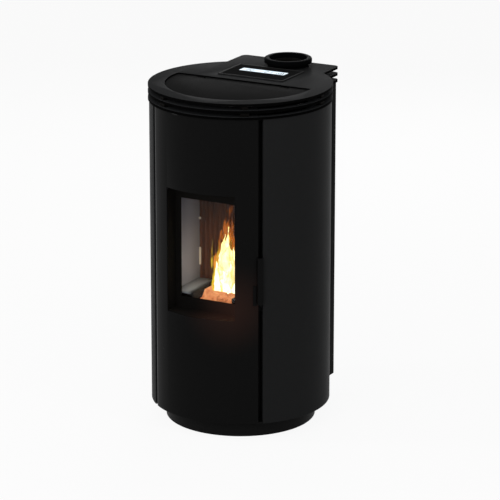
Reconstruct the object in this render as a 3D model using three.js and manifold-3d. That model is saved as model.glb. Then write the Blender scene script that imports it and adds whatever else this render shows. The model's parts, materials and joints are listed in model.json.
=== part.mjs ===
// A round pellet stove: a curved door with a framed window, three stacked vent plates on top,
// a hopper under a half-round lid, an inclined auger behind the firebox and a top flue collar.
// Origin: on the floor, on the axis of the round body. +X right, -Y front, +Z up. Millimetres, degrees.
import * as THREE from "three";
import { mergeVertices } from "three/addons/utils/BufferGeometryUtils.js";
import Module from "manifold-3d";

const wasm = await Module();
wasm.setup();

// ---- Driving dimensions ----

// Body
const bodyRadius = 252;
const bodyHeight = 866;
const plinthHeight = 50;
const plinthSetback = 41;
const plinthWall = 2.5;
const plinthFlange = 16;
const rearHalfWidth = 150;
const rearDepth = 302;
const rearCornerRadius = 16;
const housingSheet = 2;
const housingLap = 14;
const sideSheet = 2;
const sideReturn = 16;
const deckSheet = 3;
const seamGap = 0.6;
const seat = 0.3;
const skinClearance = 0.6;

// Stacked plates
const plateThickness = 7;
const plateGap = 11.5;
const plateOverhang = 3;
const plateEdge = 2.4;
const spacerAngle = 31;
const lowerSpacerWidth = 25;
const upperSpacerWidth = 17;
const spacerDepth = 14;
const ventMargin = 16;
const ventWidth = 20;
const ventStartAngle = 40;
const ventEndAngle = 80;

// Door
const doorHalfAngle = 39.5;
const grooveWidth = 13;
const doorSheet = 3;
const doorReturn = 13;
const windowInset = 20.5;
const windowBottom = 349;
const windowTop = 702;
const revealWall = 2;
const frameSetback = 72;
const frameThickness = 4;
const frameSideMargin = 20;
const frameBottomMargin = 11;
const frameTopMargin = 16;
const clearSideInset = 15.5;
const clearBottomInset = 31;
const clearTopInset = 39;
const glassThickness = 4;
const glassLap = 8;
const retainerSheet = 1.5;
const retainerFlange = 9;
const gasketWidth = 9;
const gasketDepth = 9;
const hingeInset = 5;
const hingePinRadius = 2.2;
const hingePinLength = 12;
const hingeLugRadius = 5;
const hingeLugThickness = 3;
const pinClearance = 0.4;

// Handle: a lever in the right-hand groove
const leverPivotHeight = 396;
const leverHeight = 133;
const leverWidth = 15;
const leverThickness = 8;
const leverStandoff = 2;
const leverWeb = 6;
const leverWebDepth = 14;
const leverPivotDepth = 8;
const leverArm = 24;
const leverArmHeight = 9;
const leverPinRadius = 2.5;
const latchTooth = 9;
const latchToothThickness = 5;
const latchLap = 5;
const keeperSheet = 3;
const bracketHeight = 57;
const bracketWidth = 11;
const bracketThickness = 3;
const bracketWall = 7;
const keeperGap = 1.5;

// Firebox
const standHeight = 182;
const shellSheet = 3;
const ashRoom = 117;
const floorThickness = 6;
const ledgeRise = 28;
const linerHeight = 283;
const baffleThickness = 12;
const smokeGap = 19;
const fireboxFlare = 9.5;
const sideLinerThickness = 12;
const fireboxRear = 28;
const rearLinerThickness = 15;
const fluteCount = 15;
const fluteDepth = 4;
const channelGap = 6;
const openingMargin = 14;

// Burn pot and ash pan
const potRimHalfWidth = 54;
const potShoulderInset = 4;
const potFloorHalfWidth = 42;
const potFront = 110;
const potRear = 45;
const potDepth = 67;
const potWall = 3;
const potTaper = 10;
const potRimRise = 24;
const potFlange = 4;
const apronRun = 17;
const potHoleRadius = 3;
const panSheet = 2;
const panHeight = 60;
const panInset = 17;
const panDepth = 120;
const panFrontMargin = 10;
const pullDepth = 16;

// Lid and hopper
const lidMargin = 44.5;
const lidChord = 19.5;
const lidThickness = 5;
const lidDrop = 3;
const lidGap = 1;
const lidEdge = 1.5;
const hopperMargin = 7.5;
const hopperChord = 5;
const hopperWall = 1.5;
const hopperFlange = 3.5;
const neckClearance = 1.5;
const neckDepth = 42;
const hopperSpout = 6;
const hopperBendRise = 58;
const hopperBendHalf = 95;
const hopperBendMiddle = 95;
const hopperBendLap = 10;
const hopperRearSlope = 5;
const hopperRearHalf = 130;
const hopperToFlue = 21;
const hopperFlangeWidth = 10;
const gridBar = 5;
const gridPitch = 48;
const gridThickness = 4;
const gridDrop = 30;
const lidHingeOffset = 130;
const lidHingeInset = 6.5;
const lidPinRadius = 1.8;
const lidKnuckleRadius = 3.2;
const lidKnuckleWidth = 8;
const lidEarThickness = 3;

// Display
const displayHalfWidth = 102;
const displayDepth = 132;
const bezelRise = 3;
const bezelRim = 4;
const displayTrayDepth = 15;
const displayTrayWall = 2;
const panelThickness = 3;
const screenHalfWidth = 71;
const screenInset = 65;
const screenDepth = 31;
const screenThickness = 6;

// Flue
const flueX = 20;
const flueSetback = 56;
const flueRadius = 40;
const flueWall = 2;
const collarBaseRadius = 58;
const collarRimRadius = 67.5;
const collarBore = 53;
const collarHeight = 23;
const collarRimHeight = 15;
const pipeRecess = 11;

// Auger, in its own inclined frame: the outlet is at its origin and the screw lifts along +Z
const augerLean = 30;
const outletY = 35;
const outletRise = 26;
const inletDrop = 10;
const augerBore = 26;
const augerWall = 3;
const screwRadius = 24;
const screwShaft = 8;
const screwPitch = 38;
const flightThickness = 3;
const augerAbove = 28;
const augerBelow = 165;
const inletFront = 84;
const inletRear = 136;
const inletHalfWidth = 24;
const inletWall = 2;
const inletLap = 6;
const chuteHalfWidth = 22;
const chuteHeight = 36;
const chuteWall = 2;
const chuteBelowLiner = 8;
const chuteLip = 3;
const gearboxRadius = 38;
const gearboxDepth = 22;
const augerMotorRadius = 26;
const augerMotorDepth = 40;

// Smoke side
const smokeFanHeight = 290;
const smokeFanLeft = -22;
const smokeFanRight = 62;
const smokeTight = 55;
const smokeWide = 108;
const smokeMouth = 80;
const smokeMouthHeight = 110;
const fanWall = 2;
const smokeWheelRadius = 44;
const smokeBlades = 10;
const smokeMotorRadius = 30;
const smokeMotorLength = 52;
const ductInset = 3;
const ductWidth = 70;
const ductDepth = 44;
const ductRun = 100;
const ductWall = 2;
const spigotRadius = 36;
const smokePortHeight = 15;

// Shaft of both fans
const fanShaft = 4;

// Room air fan
const roomFanY = 40;
const roomFanHalfLength = 76;
const roomTight = 52;
const roomWide = 78;
const roomMouth = 58;
const roomMouthHeight = 84;
const roomWheelRadius = 45;
const roomWheelHalfLength = 68;
const roomBlades = 16;
const roomInletRadius = 38;
const roomMotorRadius = 28;
const roomMotorLength = 46;

// Air intake, igniter, rear panel and electrics
const intakeX = 88.5;
const intakeGap = 5;
const intakeRadius = 25;
const intakeWall = 1.5;
const intakeProud = 8;
const igniterRise = 17;
const igniterRadius = 6;
const igniterReach = 4;
const panelSheet = 1.2;
const panelSideMargin = 25;
const panelBottomMargin = 30;
const panelTopMargin = 26;
const panelLap = 10;
const louvreWidth = 88;
const louvreHeight = 10;
const louvreDepth = 6;
const louvrePitch = 20;
const louvreOffset = 56;
const lowerLouvres = 6;
const lowerLouvreRise = 92;
const upperLouvres = 3;
const upperLouvreDrop = 120;
const inletX = -78;
const serviceHeight = 120;
const socketWidth = 30;
const socketHeight = 24;
const socketDepth = 18;
const switchWidth = 14;
const rockerTilt = 8;
const thermostatX = -12;
const thermostatRadius = 13;
const thermostatDepth = 20;
const thermostatNeck = 6;
const buttonRadius = 3.5;
const buttonProud = 3;
const boardStandoff = 10;
const boardSetback = 88;
const boardLength = 74;
const boardBottom = 500;
const boardHeight = 190;
const boardSheet = 2;
const boardMargin = 8;
const transformerWidth = 36;
const transformerHeight = 46;
const transformerDepth = 30;
const relayPitch = 24;
const relayWidth = 22;
const relayHeight = 18;
const relayDepth = 15;
const plugPitch = 40;
const plugWidth = 12;
const plugHeight = 26;
const plugDepth = 10;

// Feet and uprights
const footInset = 46;
const footRadius = 18;
const footHeight = 8;
const footBolt = 5;
const uprightAngle = 7;
const uprightDepth = 38;
const uprightSheet = 2;

// ---- Levels and places that follow from them ----

const radians = THREE.MathUtils.degToRad;
const degrees = THREE.MathUtils.radToDeg;

const plinthRadius = bodyRadius - plinthSetback;
const footCircle = plinthRadius - footInset;
const baseTop = plinthHeight + deckSheet;
const bodyTop = plinthHeight + bodyHeight;
const capBottom = bodyTop - deckSheet;
const lowerPlateTop = bodyTop + plateThickness;
const middlePlateBottom = lowerPlateTop + plateGap;
const middlePlateTop = middlePlateBottom + plateThickness;
const topPlateBottom = middlePlateTop + plateGap;
const topPlateTop = topPlateBottom + plateThickness;
const ventOuterRadius = bodyRadius - ventMargin;
const ventInnerRadius = ventOuterRadius - ventWidth;
const deckRadius = bodyRadius - doorSheet - skinClearance;
const doorInner = bodyRadius - doorSheet;
const grooveAngle = degrees(grooveWidth / bodyRadius);
const sideStart = doorHalfAngle + grooveAngle;
const hingeAngle = doorHalfAngle + grooveAngle / 2;
const hingeRadius = bodyRadius - hingeInset;
const windowHalfWidth = bodyRadius / 2 - windowInset;
const frameDepth = bodyRadius - frameSetback;
const frameBack = frameThickness - frameDepth;
const shellFront = frameBack + gasketDepth + seat;
const clearHalfWidth = windowHalfWidth - clearSideInset;
const clearBottom = windowBottom + clearBottomInset;
const clearTop = windowTop - clearTopInset;
const frameHalfWidth = windowHalfWidth + frameSideMargin;
const frameBottom = windowBottom - frameBottomMargin;
const frameTop = windowTop + frameTopMargin;
const leverPivotRadius = bodyRadius - leverPivotDepth;
const leverPlate = leverWeb / 2;
const leverLap = leverPlate + 1.5;
const bracketFace = leverPlate + seat;
const fireboxHalfWidth = windowHalfWidth + fireboxFlare;
const shellBottom = baseTop + standHeight;
const floorUnder = shellBottom + shellSheet + ashRoom;
const floorTop = floorUnder + floorThickness;
const ledgeTop = floorTop + ledgeRise;
const linerTop = ledgeTop + linerHeight;
const baffleTop = linerTop + baffleThickness;
const shellTop = baffleTop + smokeGap + shellSheet;
const channelHalfWidth = potRimHalfWidth + channelGap;
const potShoulderHalf = potRimHalfWidth - potShoulderInset;
const potRim = floorTop + potRimRise;
const potFoot = potRim - potDepth;
const panHalfWidth = fireboxHalfWidth - panInset;
const shellInner = fireboxHalfWidth + sideLinerThickness + seat;
const shellRearInner = -fireboxRear + rearLinerThickness + seat;
const shellRear = shellRearInner + shellSheet;
const lidTop = topPlateTop - lidDrop;
const lidBottom = lidTop - lidThickness;
const collarTop = topPlateTop + collarHeight;
const flueY = rearDepth - flueSetback;
const displayRear = flueY - collarBaseRadius;
const displayFront = displayRear - displayDepth;
const screenFront = displayFront + screenInset;
const lidRadius = bodyRadius - lidMargin;
const lidAxisY = lidChord - lidHingeInset;
const lidAxisZ = (lidTop + lidBottom) / 2 - 1;
const hopperRadius = lidRadius - hopperMargin;
const hopperRearLimit = flueY - flueRadius - hopperToFlue;
const chuteTop = linerTop - chuteBelowLiner;
const outletHeight = chuteTop + outletRise;
const hopperFoot = outletHeight - inletDrop;
const hopperBend = hopperFoot + hopperBendRise;
const smokeFanY = flueY + smokeMouth / 2 - smokeWide;
const smokeFanMouth = smokeFanHeight + smokeMouthHeight;
const ductLeft = ductInset - fireboxHalfWidth;
const ductRight = ductLeft + ductWidth;
const ductBottom = smokeFanHeight - ductRun / 2;
const smokePort = baffleTop + 2;
const roomFanHeight = baseTop + THREE.MathUtils.lerp(roomTight, roomWide, 0.72) + seat;
const intakeHeight = smokeFanHeight + smokeMotorRadius + intakeGap + intakeRadius;
const igniterHeight = potFoot + igniterRise;
const panelHalfWidth = rearHalfWidth - panelSideMargin;
const panelBottom = plinthHeight + panelBottomMargin;
const panelTop = bodyTop - panelTopMargin;
const boardX = rearHalfWidth - boardStandoff;
const boardFront = rearDepth - boardSetback;

// ---- Shape helpers ----

const bodyFacet = 6;
const pipeSides = 20;
const axisX = new THREE.Vector3(1, 0, 0);
const axisY = new THREE.Vector3(0, 1, 0);
const axisZ = new THREE.Vector3(0, 0, 1);

// A point at this radius from the body's axis, its angle measured from the front towards +X.
function polar(radius, angle) {
  return new THREE.Vector2(radius * Math.sin(radians(angle)), -radius * Math.cos(radians(angle)));
}

function polarArc(radius, from, to) {
  const steps = Math.max(1, Math.ceil(Math.abs(to - from) / bodyFacet));
  return Array.from({ length: steps + 1 }, (_, i) => polar(radius, from + ((to - from) * i) / steps));
}

// Points of an arc about any centre, its angles measured from +X.
function arcPoints(x, y, radius, from, to, steps) {
  return Array.from({ length: steps + 1 }, (_, i) => {
    const angle = radians(from + ((to - from) * i) / steps);
    return new THREE.Vector2(x + radius * Math.cos(angle), y + radius * Math.sin(angle));
  });
}

function circle(x, y, radius, sides = pipeSides) {
  return new THREE.Shape(arcPoints(x, y, radius, 0, 360 - 360 / sides, sides - 1));
}

function polygon(pairs) {
  return new THREE.Shape(pairs.map(([x, y]) => new THREE.Vector2(x, y)));
}

function rectangle(x0, x1, y0, y1) {
  return polygon([[x0, y0], [x1, y0], [x1, y1], [x0, y1]]);
}

// A band between two radii, from one angle to another.
function sector(inner, outer, from, to) {
  return new THREE.Shape([...polarArc(outer, from, to), ...polarArc(inner, to, from)]);
}

// The half-round form of lid and hopper: a circle cut off by a chord behind its middle.
function halfRound(radius, chord) {
  const half = 180 - degrees(Math.acos(chord / radius));
  return new THREE.Shape(polarArc(radius, -half, half));
}

// The plan of the stove: a circle with a straight-sided housing at the back.
function stovePlan(radius, halfWidth, rear, corner) {
  const joint = 180 - degrees(Math.asin(halfWidth / radius));
  return new THREE.Shape([
    ...polarArc(radius, -joint, joint),
    ...arcPoints(halfWidth - corner, rear - corner, corner, 0, 90, 4),
    ...arcPoints(corner - halfWidth, rear - corner, corner, 90, 180, 4),
  ]);
}

function block(x0, x1, y0, y1, z0, z1) {
  const geometry = new THREE.BoxGeometry(x1 - x0, y1 - y0, z1 - z0);
  return geometry.translate((x0 + x1) / 2, (y0 + y1) / 2, (z0 + z1) / 2);
}

// A shape drawn in X and Y, raised from z0 to z1.
function prism(shape, z0, z1) {
  const geometry = new THREE.ExtrudeGeometry(shape, { depth: z1 - z0, bevelEnabled: false });
  return geometry.translate(0, 0, z0);
}

// A shape drawn in Y and Z, run along X.
function prismX(shape, x0, x1) {
  const geometry = new THREE.ExtrudeGeometry(shape, { depth: x1 - x0, bevelEnabled: false });
  geometry.applyMatrix4(new THREE.Matrix4().makeBasis(axisY, axisZ, axisX));
  return geometry.translate(x0, 0, 0);
}

// A shape drawn in X and Z, run along Y.
function prismY(shape, y0, y1) {
  const geometry = new THREE.ExtrudeGeometry(shape, { depth: y1 - y0, bevelEnabled: false });
  geometry.applyMatrix4(new THREE.Matrix4().makeBasis(axisX, axisZ, axisY.clone().negate()));
  return geometry.translate(0, y1, 0);
}

// A plate with its outer edge rounded over at top and bottom.
function roundedPlate(shape, z0, z1, edge, segments) {
  const geometry = new THREE.ExtrudeGeometry(shape, {
    depth: z1 - z0 - 2 * edge,
    bevelThickness: edge,
    bevelSize: edge,
    bevelOffset: -edge,
    bevelSegments: segments,
  });
  return geometry.translate(0, 0, z0 + edge);
}

// A profile of [radius, height] pairs turned about the Z axis.
function turned(profile, sides = pipeSides) {
  const points = profile.map(([radius, height]) => new THREE.Vector2(radius, height));
  return new THREE.LatheGeometry(points, sides).rotateX(Math.PI / 2);
}

function rod(radius, z0, z1, sides = pipeSides) {
  return turned([[0, z0], [radius, z0], [radius, z1], [0, z1]], sides);
}

function pipe(inner, outer, z0, z1, sides = pipeSides) {
  return turned([[inner, z0], [outer, z0], [outer, z1], [inner, z1], [inner, z0]], sides);
}

function alongX(geometry) {
  return geometry.applyMatrix4(new THREE.Matrix4().makeBasis(axisY, axisZ, axisX));
}

function alongY(geometry) {
  return geometry.applyMatrix4(new THREE.Matrix4().makeBasis(axisZ, axisX, axisY));
}

// Joins loops of equally many points, from the lowest to the highest, and closes both ends.
function loft(loops) {
  const count = loops[0].length;
  const positions = loops.flat().flatMap((point) => point.toArray());
  const triangles = [];
  for (let level = 0; level + 1 < loops.length; level += 1) {
    for (let i = 0; i < count; i += 1) {
      const a = level * count + i;
      const b = level * count + ((i + 1) % count);
      triangles.push(a, b, b + count, a, b + count, a + count);
    }
  }
  const lowest = loops[0].map((point) => new THREE.Vector2(point.x, point.y));
  const highest = loops.at(-1).map((point) => new THREE.Vector2(point.x, point.y));
  const top = (loops.length - 1) * count;
  for (const [a, b, c] of THREE.ShapeUtils.triangulateShape(lowest, [])) triangles.push(c, b, a);
  for (const [a, b, c] of THREE.ShapeUtils.triangulateShape(highest, [])) {
    triangles.push(top + a, top + b, top + c);
  }
  const geometry = new THREE.BufferGeometry();
  geometry.setAttribute("position", new THREE.Float32BufferAttribute(positions, 3));
  geometry.setIndex(triangles);
  return geometry;
}

function flat(shape, z) {
  return shape.getPoints().map((point) => new THREE.Vector3(point.x, point.y, z));
}

// ---- Joining and cutting ----

function toSolid(geometry) {
  const bare = geometry.clone();
  bare.deleteAttribute("normal");
  bare.deleteAttribute("uv");
  const merged = mergeVertices(bare, 1e-4);
  const triVerts = new Uint32Array(merged.index.array);
  const vertProperties = new Float32Array(merged.attributes.position.array);
  const made = new wasm.Manifold(new wasm.Mesh({ numProp: 3, vertProperties, triVerts }));
  if (made.volume() > 0) return made;
  triVerts.reverse();
  return new wasm.Manifold(new wasm.Mesh({ numProp: 3, vertProperties, triVerts }));
}

function toGeometry(made) {
  const mesh = made.getMesh();
  const geometry = new THREE.BufferGeometry();
  geometry.setAttribute("position", new THREE.BufferAttribute(mesh.vertProperties, 3));
  geometry.setIndex(new THREE.BufferAttribute(mesh.triVerts, 1));
  return geometry;
}

function join(...pieces) {
  return toGeometry(pieces.map(toSolid).reduce((whole, piece) => whole.add(piece)));
}

function cut(body, ...tools) {
  return toGeometry(tools.map(toSolid).reduce((whole, tool) => whole.subtract(tool), toSolid(body)));
}

function common(first, second) {
  return toGeometry(toSolid(first).intersect(toSolid(second)));
}

// ---- Finishes ----

function finish(color, roughness, metalness) {
  return new THREE.MeshStandardMaterial({ color, roughness, metalness });
}

const glossBlack = () => finish(0x15171a, 0.12, 0);
const satinBlack = () => finish(0x26282b, 0.45, 0.2);
const plateGrey = () => finish(0x34363a, 0.4, 0.3);
const matteBlack = () => finish(0x101112, 0.8, 0);
const castIron = () => finish(0x3b3634, 0.7, 0.5);
const vermiculite = () => finish(0x6b4a34, 0.9, 0);
const bareSteel = () => finish(0x9a9c9e, 0.35, 0.9);
const galvanised = () => finish(0x8b9093, 0.5, 0.8);
const ropeGrey = () => finish(0x4a4a48, 0.95, 0);
const clearGlass = () => {
  const glass = finish(0x202020, 0.05, 0);
  glass.transparent = true;
  glass.opacity = 0.3;
  return glass;
};

const stove = new THREE.Group();

function add(name, geometry, material, parent = stove) {
  const mesh = new THREE.Mesh(geometry, material);
  mesh.name = name;
  parent.add(mesh);
  return mesh;
}

// ---- Plinth, decks and uprights ----

const feet = { front: 0, right: 120, left: -120 };

function buildPlinth() {
  const inner = plinthRadius - plinthWall;
  const tray = turned([
    [0, 0],
    [plinthRadius - 1, 0],
    [plinthRadius, 1],
    [plinthRadius, plinthHeight],
    [plinthRadius - plinthFlange, plinthHeight],
    [plinthRadius - plinthFlange, plinthHeight - plinthWall],
    [inner, plinthHeight - plinthWall],
    [inner, plinthWall],
    [0, plinthWall],
  ], 48);
  const holes = Object.values(feet).map((angle) => {
    const place = polar(footCircle, angle);
    return rod(footRadius + 1, -1, plinthWall + 1, 16).translate(place.x, place.y, 0);
  });
  add("plinth", cut(tray, ...holes), satinBlack());
}

function buildFeet() {
  for (const [side, angle] of Object.entries(feet)) {
    const nutHeight = 6;
    const foot = turned([
      [0, 0],
      [footRadius - 1, 0],
      [footRadius, 1.5],
      [footRadius, footHeight - 2],
      [footBolt + 4, footHeight],
      [footBolt, footHeight],
      [footBolt, baseTop + nutHeight],
      [0, baseTop + nutHeight],
    ], 12);
    const nut = rod(footBolt * 1.8, plinthHeight - nutHeight, plinthHeight, 6);
    const mesh = add("levelling_foot_" + side, join(foot, nut), bareSteel());
    const place = polar(footCircle, angle);
    mesh.position.set(place.x, place.y, 0);
  }
}

function deckPlan() {
  const inset = housingSheet + seat;
  return stovePlan(deckRadius, rearHalfWidth - inset, rearDepth - inset, rearCornerRadius - inset);
}

function hingePin(z0, z1) {
  const place = polar(hingeRadius, -hingeAngle);
  return rod(hingePinRadius, z0, z1, 12).translate(place.x, place.y, 0);
}

function buildBasePlate() {
  const plan = deckPlan();
  for (const angle of Object.values(feet)) {
    const place = polar(footCircle, angle);
    plan.holes.push(circle(place.x, place.y, footBolt + seat, 12));
  }
  const pin = hingePin(plinthHeight, baseTop + hingePinLength);
  add("base_plate", join(prism(plan, plinthHeight, baseTop), pin), satinBlack());
}

// The warm air rises through a curved slot on each side.
function ventSlots() {
  const spans = [[ventStartAngle, ventEndAngle], [-ventEndAngle, -ventStartAngle]];
  return spans.map(([from, to]) => sector(ventInnerRadius, ventOuterRadius, from, to));
}

function flueHole() {
  return circle(flueX, flueY, flueRadius + 2, pipeSides);
}

function neckHole() {
  return halfRound(hopperRadius + neckClearance, hopperChord + neckClearance);
}

function buildCapPlate() {
  const plan = deckPlan();
  plan.holes.push(neckHole(), flueHole(), ...ventSlots());
  const pin = hingePin(capBottom - hingePinLength, bodyTop);
  add("cap_plate", join(prism(plan, capBottom, bodyTop), pin), satinBlack());
}

// A folded upright beside each groove carries the cap plate and closes the groove from behind.
function buildUprights() {
  const sheet = uprightSheet;
  const inner = deckRadius - uprightDepth;
  const from = sideStart + degrees((sideSheet + skinClearance) / inner);
  const to = from + uprightAngle;
  const wallAngle = degrees(sheet / deckRadius);
  for (const [name, side] of [["upright_left", -1], ["upright_right", 1]]) {
    const post = [
      sector(deckRadius - sheet, deckRadius, side * from, side * to),
      sector(inner, deckRadius, side * from, side * (from + wallAngle)),
      sector(inner, inner + sheet, side * (doorHalfAngle - wallAngle), side * to),
    ].map((shape) => prism(shape, baseTop, capBottom));
    const latch = side > 0 ? [latchKeeper(from)] : [];
    add(name, join(...post, ...latch), satinBlack());
  }
}

// The keeper is a tab that crosses the groove in front of the latch tooth.
function latchKeeper(uprightStart) {
  const outer = leverPivotRadius - leverArm + latchToothThickness + keeperSheet + keeperGap;
  const root = uprightStart + degrees(uprightSheet / deckRadius);
  const tab = sector(outer - keeperSheet, outer, hingeAngle - grooveAngle / 4, root);
  const top = leverPivotHeight - leverArmHeight / 2 - latchTooth + latchLap;
  return prism(tab, top - 2 * latchTooth, top);
}

// ---- Outer panels ----

function buildSidePanels() {
  const inner = bodyRadius - sideSheet;
  const end = 180 - degrees(Math.asin((rearHalfWidth + seamGap) / inner));
  const foldAngle = degrees(sideSheet / bodyRadius);
  for (const [name, side] of [["side_panel_left", -1], ["side_panel_right", 1]]) {
    const skin = prism(sector(inner, bodyRadius, side * sideStart, side * end), plinthHeight, bodyTop);
    const foldEnd = side * (sideStart + foldAngle);
    const fold = sector(bodyRadius - sideReturn, inner + 0.5, side * sideStart, foldEnd);
    add(name, join(skin, prism(fold, baseTop + seat, capBottom - seat)), satinBlack());
  }
}

// The U-shaped housing wall in plan, from its front edges round the back.
function housingWall(start) {
  const corner = rearCornerRadius;
  const inner = rearHalfWidth - housingSheet;
  const back = rearDepth - housingSheet;
  const fillet = corner - housingSheet;
  return new THREE.Shape([
    new THREE.Vector2(rearHalfWidth, start),
    ...arcPoints(rearHalfWidth - corner, rearDepth - corner, corner, 0, 90, 5),
    ...arcPoints(corner - rearHalfWidth, rearDepth - corner, corner, 90, 180, 5),
    new THREE.Vector2(-rearHalfWidth, start),
    new THREE.Vector2(-inner, start),
    ...arcPoints(corner - rearHalfWidth, back - fillet, fillet, 180, 90, 5),
    ...arcPoints(rearHalfWidth - corner, back - fillet, fillet, 90, 0, 5),
    new THREE.Vector2(inner, start),
  ]);
}

// Its front edges lap inside the side panels, between the two decks.
function buildRearHousing() {
  const edge = Math.sqrt(bodyRadius ** 2 - rearHalfWidth ** 2);
  const whole = join(
    prism(housingWall(edge), plinthHeight, bodyTop),
    prism(housingWall(edge - housingLap), baseTop + seat, capBottom - seat),
  );
  const half = panelHalfWidth - panelLap;
  const back = rearDepth - housingSheet;
  const opening = block(-half, half, back - 1, rearDepth + 1, panelBottom + panelLap, panelTop - panelLap);
  add("rear_housing", cut(whole, opening), satinBlack());
}

// The rear panel is screwed on from outside, with pressed louvres above and below.
function buildRearPanel() {
  const face = rearDepth + panelSheet;
  const rows = [
    ...Array.from({ length: lowerLouvres }, (_, i) => panelBottom + lowerLouvreRise + i * louvrePitch),
    ...Array.from({ length: upperLouvres }, (_, i) => panelTop - upperLouvreDrop + i * louvrePitch),
  ];
  const hoods = [];
  const throats = [];
  for (const z of rows) {
    for (const x of [-louvreOffset, louvreOffset]) {
      const top = z + louvreHeight;
      const proud = face + louvreDepth;
      const hood = polygon([[rearDepth, z], [proud, z], [proud, z + 1.5], [rearDepth, top + 2]]);
      const deep = proud - panelSheet;
      const throat = polygon([[rearDepth - 1, z - 1], [deep, z - 1], [deep, z + 1], [rearDepth - 1, top]]);
      hoods.push(prismX(hood, x - louvreWidth / 2, x + louvreWidth / 2));
      throats.push(prismX(throat, x - louvreWidth / 2 + panelSheet, x + louvreWidth / 2 - panelSheet));
    }
  }
  const plan = rectangle(-panelHalfWidth, panelHalfWidth, panelBottom, panelTop);
  plan.holes.push(
    circle(intakeX, intakeHeight, intakeRadius + skinClearance),
    rectangle(...socketSpan(seat)),
    circle(thermostatX, serviceHeight, thermostatNeck + seat, 12),
  );
  const sheet = prismY(plan, rearDepth, face);
  add("rear_panel", cut(join(sheet, ...hoods), ...throats), satinBlack());
}

// ---- Stacked vent plates ----

function platePlan() {
  return stovePlan(
    bodyRadius + plateOverhang,
    rearHalfWidth + plateOverhang,
    rearDepth + plateOverhang,
    rearCornerRadius,
  );
}

// Blocks that hold the plate above at its distance.
function spacers(width, z0, z1) {
  const outer = bodyRadius - plateEdge - 2;
  const half = degrees(width / 2 / outer);
  const angles = [-spacerAngle, spacerAngle, -3 * spacerAngle, 3 * spacerAngle];
  const round = angles.map((angle) => {
    return prism(sector(outer - spacerDepth, outer, angle - half, angle + half), z0, z1);
  });
  const rear = rearDepth - spacerDepth;
  const square = [-1, 1].map((side) => {
    const x = side * rearHalfWidth * 0.6;
    return block(x - width / 2, x + width / 2, rear - spacerDepth, rear, z0, z1);
  });
  return [...round, ...square];
}

function buildVentPlates() {
  const levels = [
    ["vent_plate_lower", bodyTop, lowerSpacerWidth],
    ["vent_plate_middle", middlePlateBottom, upperSpacerWidth],
  ];
  for (const [name, z, width] of levels) {
    const top = z + plateThickness;
    const plate = roundedPlate(platePlan(), z, top, plateEdge, 1);
    const blocks = spacers(width, top - 0.5, top + plateGap);
    const holes = [neckHole(), flueHole(), ...ventSlots()].map((hole) => prism(hole, z - 1, top + 1));
    add(name, cut(join(plate, ...blocks), ...holes), plateGrey());
  }
}

function buildTopPlate() {
  const tray = displayHalfWidth - bezelRim + seat;
  const holes = [
    halfRound(lidRadius + lidGap, lidChord + lidGap),
    rectangle(-tray, tray, displayFront + bezelRim - seat, displayRear - bezelRim + seat),
    circle(flueX, flueY, collarBore),
  ].map((hole) => prism(hole, topPlateBottom - 1, topPlateTop + 1));
  const plate = roundedPlate(platePlan(), topPlateBottom, topPlateTop, plateEdge, 2);
  add("top_plate", cut(plate, ...holes), plateGrey());
}

// ---- Lid with its hinges ----

function lidKnuckle(x) {
  const half = lidKnuckleWidth / 2;
  const barrel = alongX(rod(lidKnuckleRadius, x - half, x + half, 12)).translate(0, lidAxisY, lidAxisZ);
  const bore = alongX(rod(lidPinRadius + pinClearance, x - half - 1, x + half + 1, 12));
  const web = block(x - half, x + half, lidAxisY - 9, lidAxisY, lidBottom + 1, lidTop - 1);
  return { solid: join(barrel, web), bore: bore.translate(0, lidAxisY, lidAxisZ) };
}

function buildLid() {
  const reach = lidKnuckleWidth / 2 + lidEarThickness + 1;
  const knuckles = [-lidHingeOffset, lidHingeOffset].map(lidKnuckle);
  const notches = [-lidHingeOffset, lidHingeOffset].map((x) => {
    const front = lidAxisY - lidKnuckleRadius - 2;
    return block(x - reach, x + reach, front, lidChord + 1, lidBottom - 1, lidTop + 1);
  });
  const panel = roundedPlate(halfRound(lidRadius, lidChord), lidBottom, lidTop, lidEdge, 1);
  const notched = cut(panel, ...notches);
  const whole = join(notched, ...knuckles.map((knuckle) => knuckle.solid));
  add("lid_panel", cut(whole, ...knuckles.map((knuckle) => knuckle.bore)), satinBlack());
}

function buildLidHinges() {
  const half = lidKnuckleWidth / 2 + seat;
  for (const [name, x] of [["lid_hinge_left", -lidHingeOffset], ["lid_hinge_right", lidHingeOffset]]) {
    const front = lidAxisY - lidKnuckleRadius;
    const back = lidAxisY + lidKnuckleRadius;
    const ear = polygon([
      [front, middlePlateTop],
      [back, middlePlateTop],
      [back, lidAxisZ],
      [lidAxisY + lidKnuckleRadius / 2, lidAxisZ + lidKnuckleRadius],
      [lidAxisY - lidKnuckleRadius / 2, lidAxisZ + lidKnuckleRadius],
      [front, lidAxisZ],
    ]);
    const outer = half + lidEarThickness;
    const foot = block(-outer, outer, front, back, middlePlateTop, middlePlateTop + 2);
    const ears = [prismX(ear, -outer, -half), prismX(ear, half, outer)];
    const pin = alongX(rod(lidPinRadius, -outer, outer, 12)).translate(0, lidAxisY, lidAxisZ);
    add(name, join(foot, ...ears, pin), bareSteel()).position.x = x;
  }
}

// ---- Hopper ----

// One level of the bin: a half ellipse in front, straight sides drawn in towards the rear edge.
function binLoop(z, front, middle, rear, half, rearHalf) {
  const steps = 18;
  const nose = Array.from({ length: steps + 1 }, (_, i) => {
    const angle = Math.PI * (1 + i / steps);
    return new THREE.Vector3(half * Math.cos(angle), middle + (middle - front) * Math.sin(angle), z);
  });
  return [...nose, new THREE.Vector3(rearHalf, rear, z), new THREE.Vector3(-rearHalf, rear, z)];
}

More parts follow.
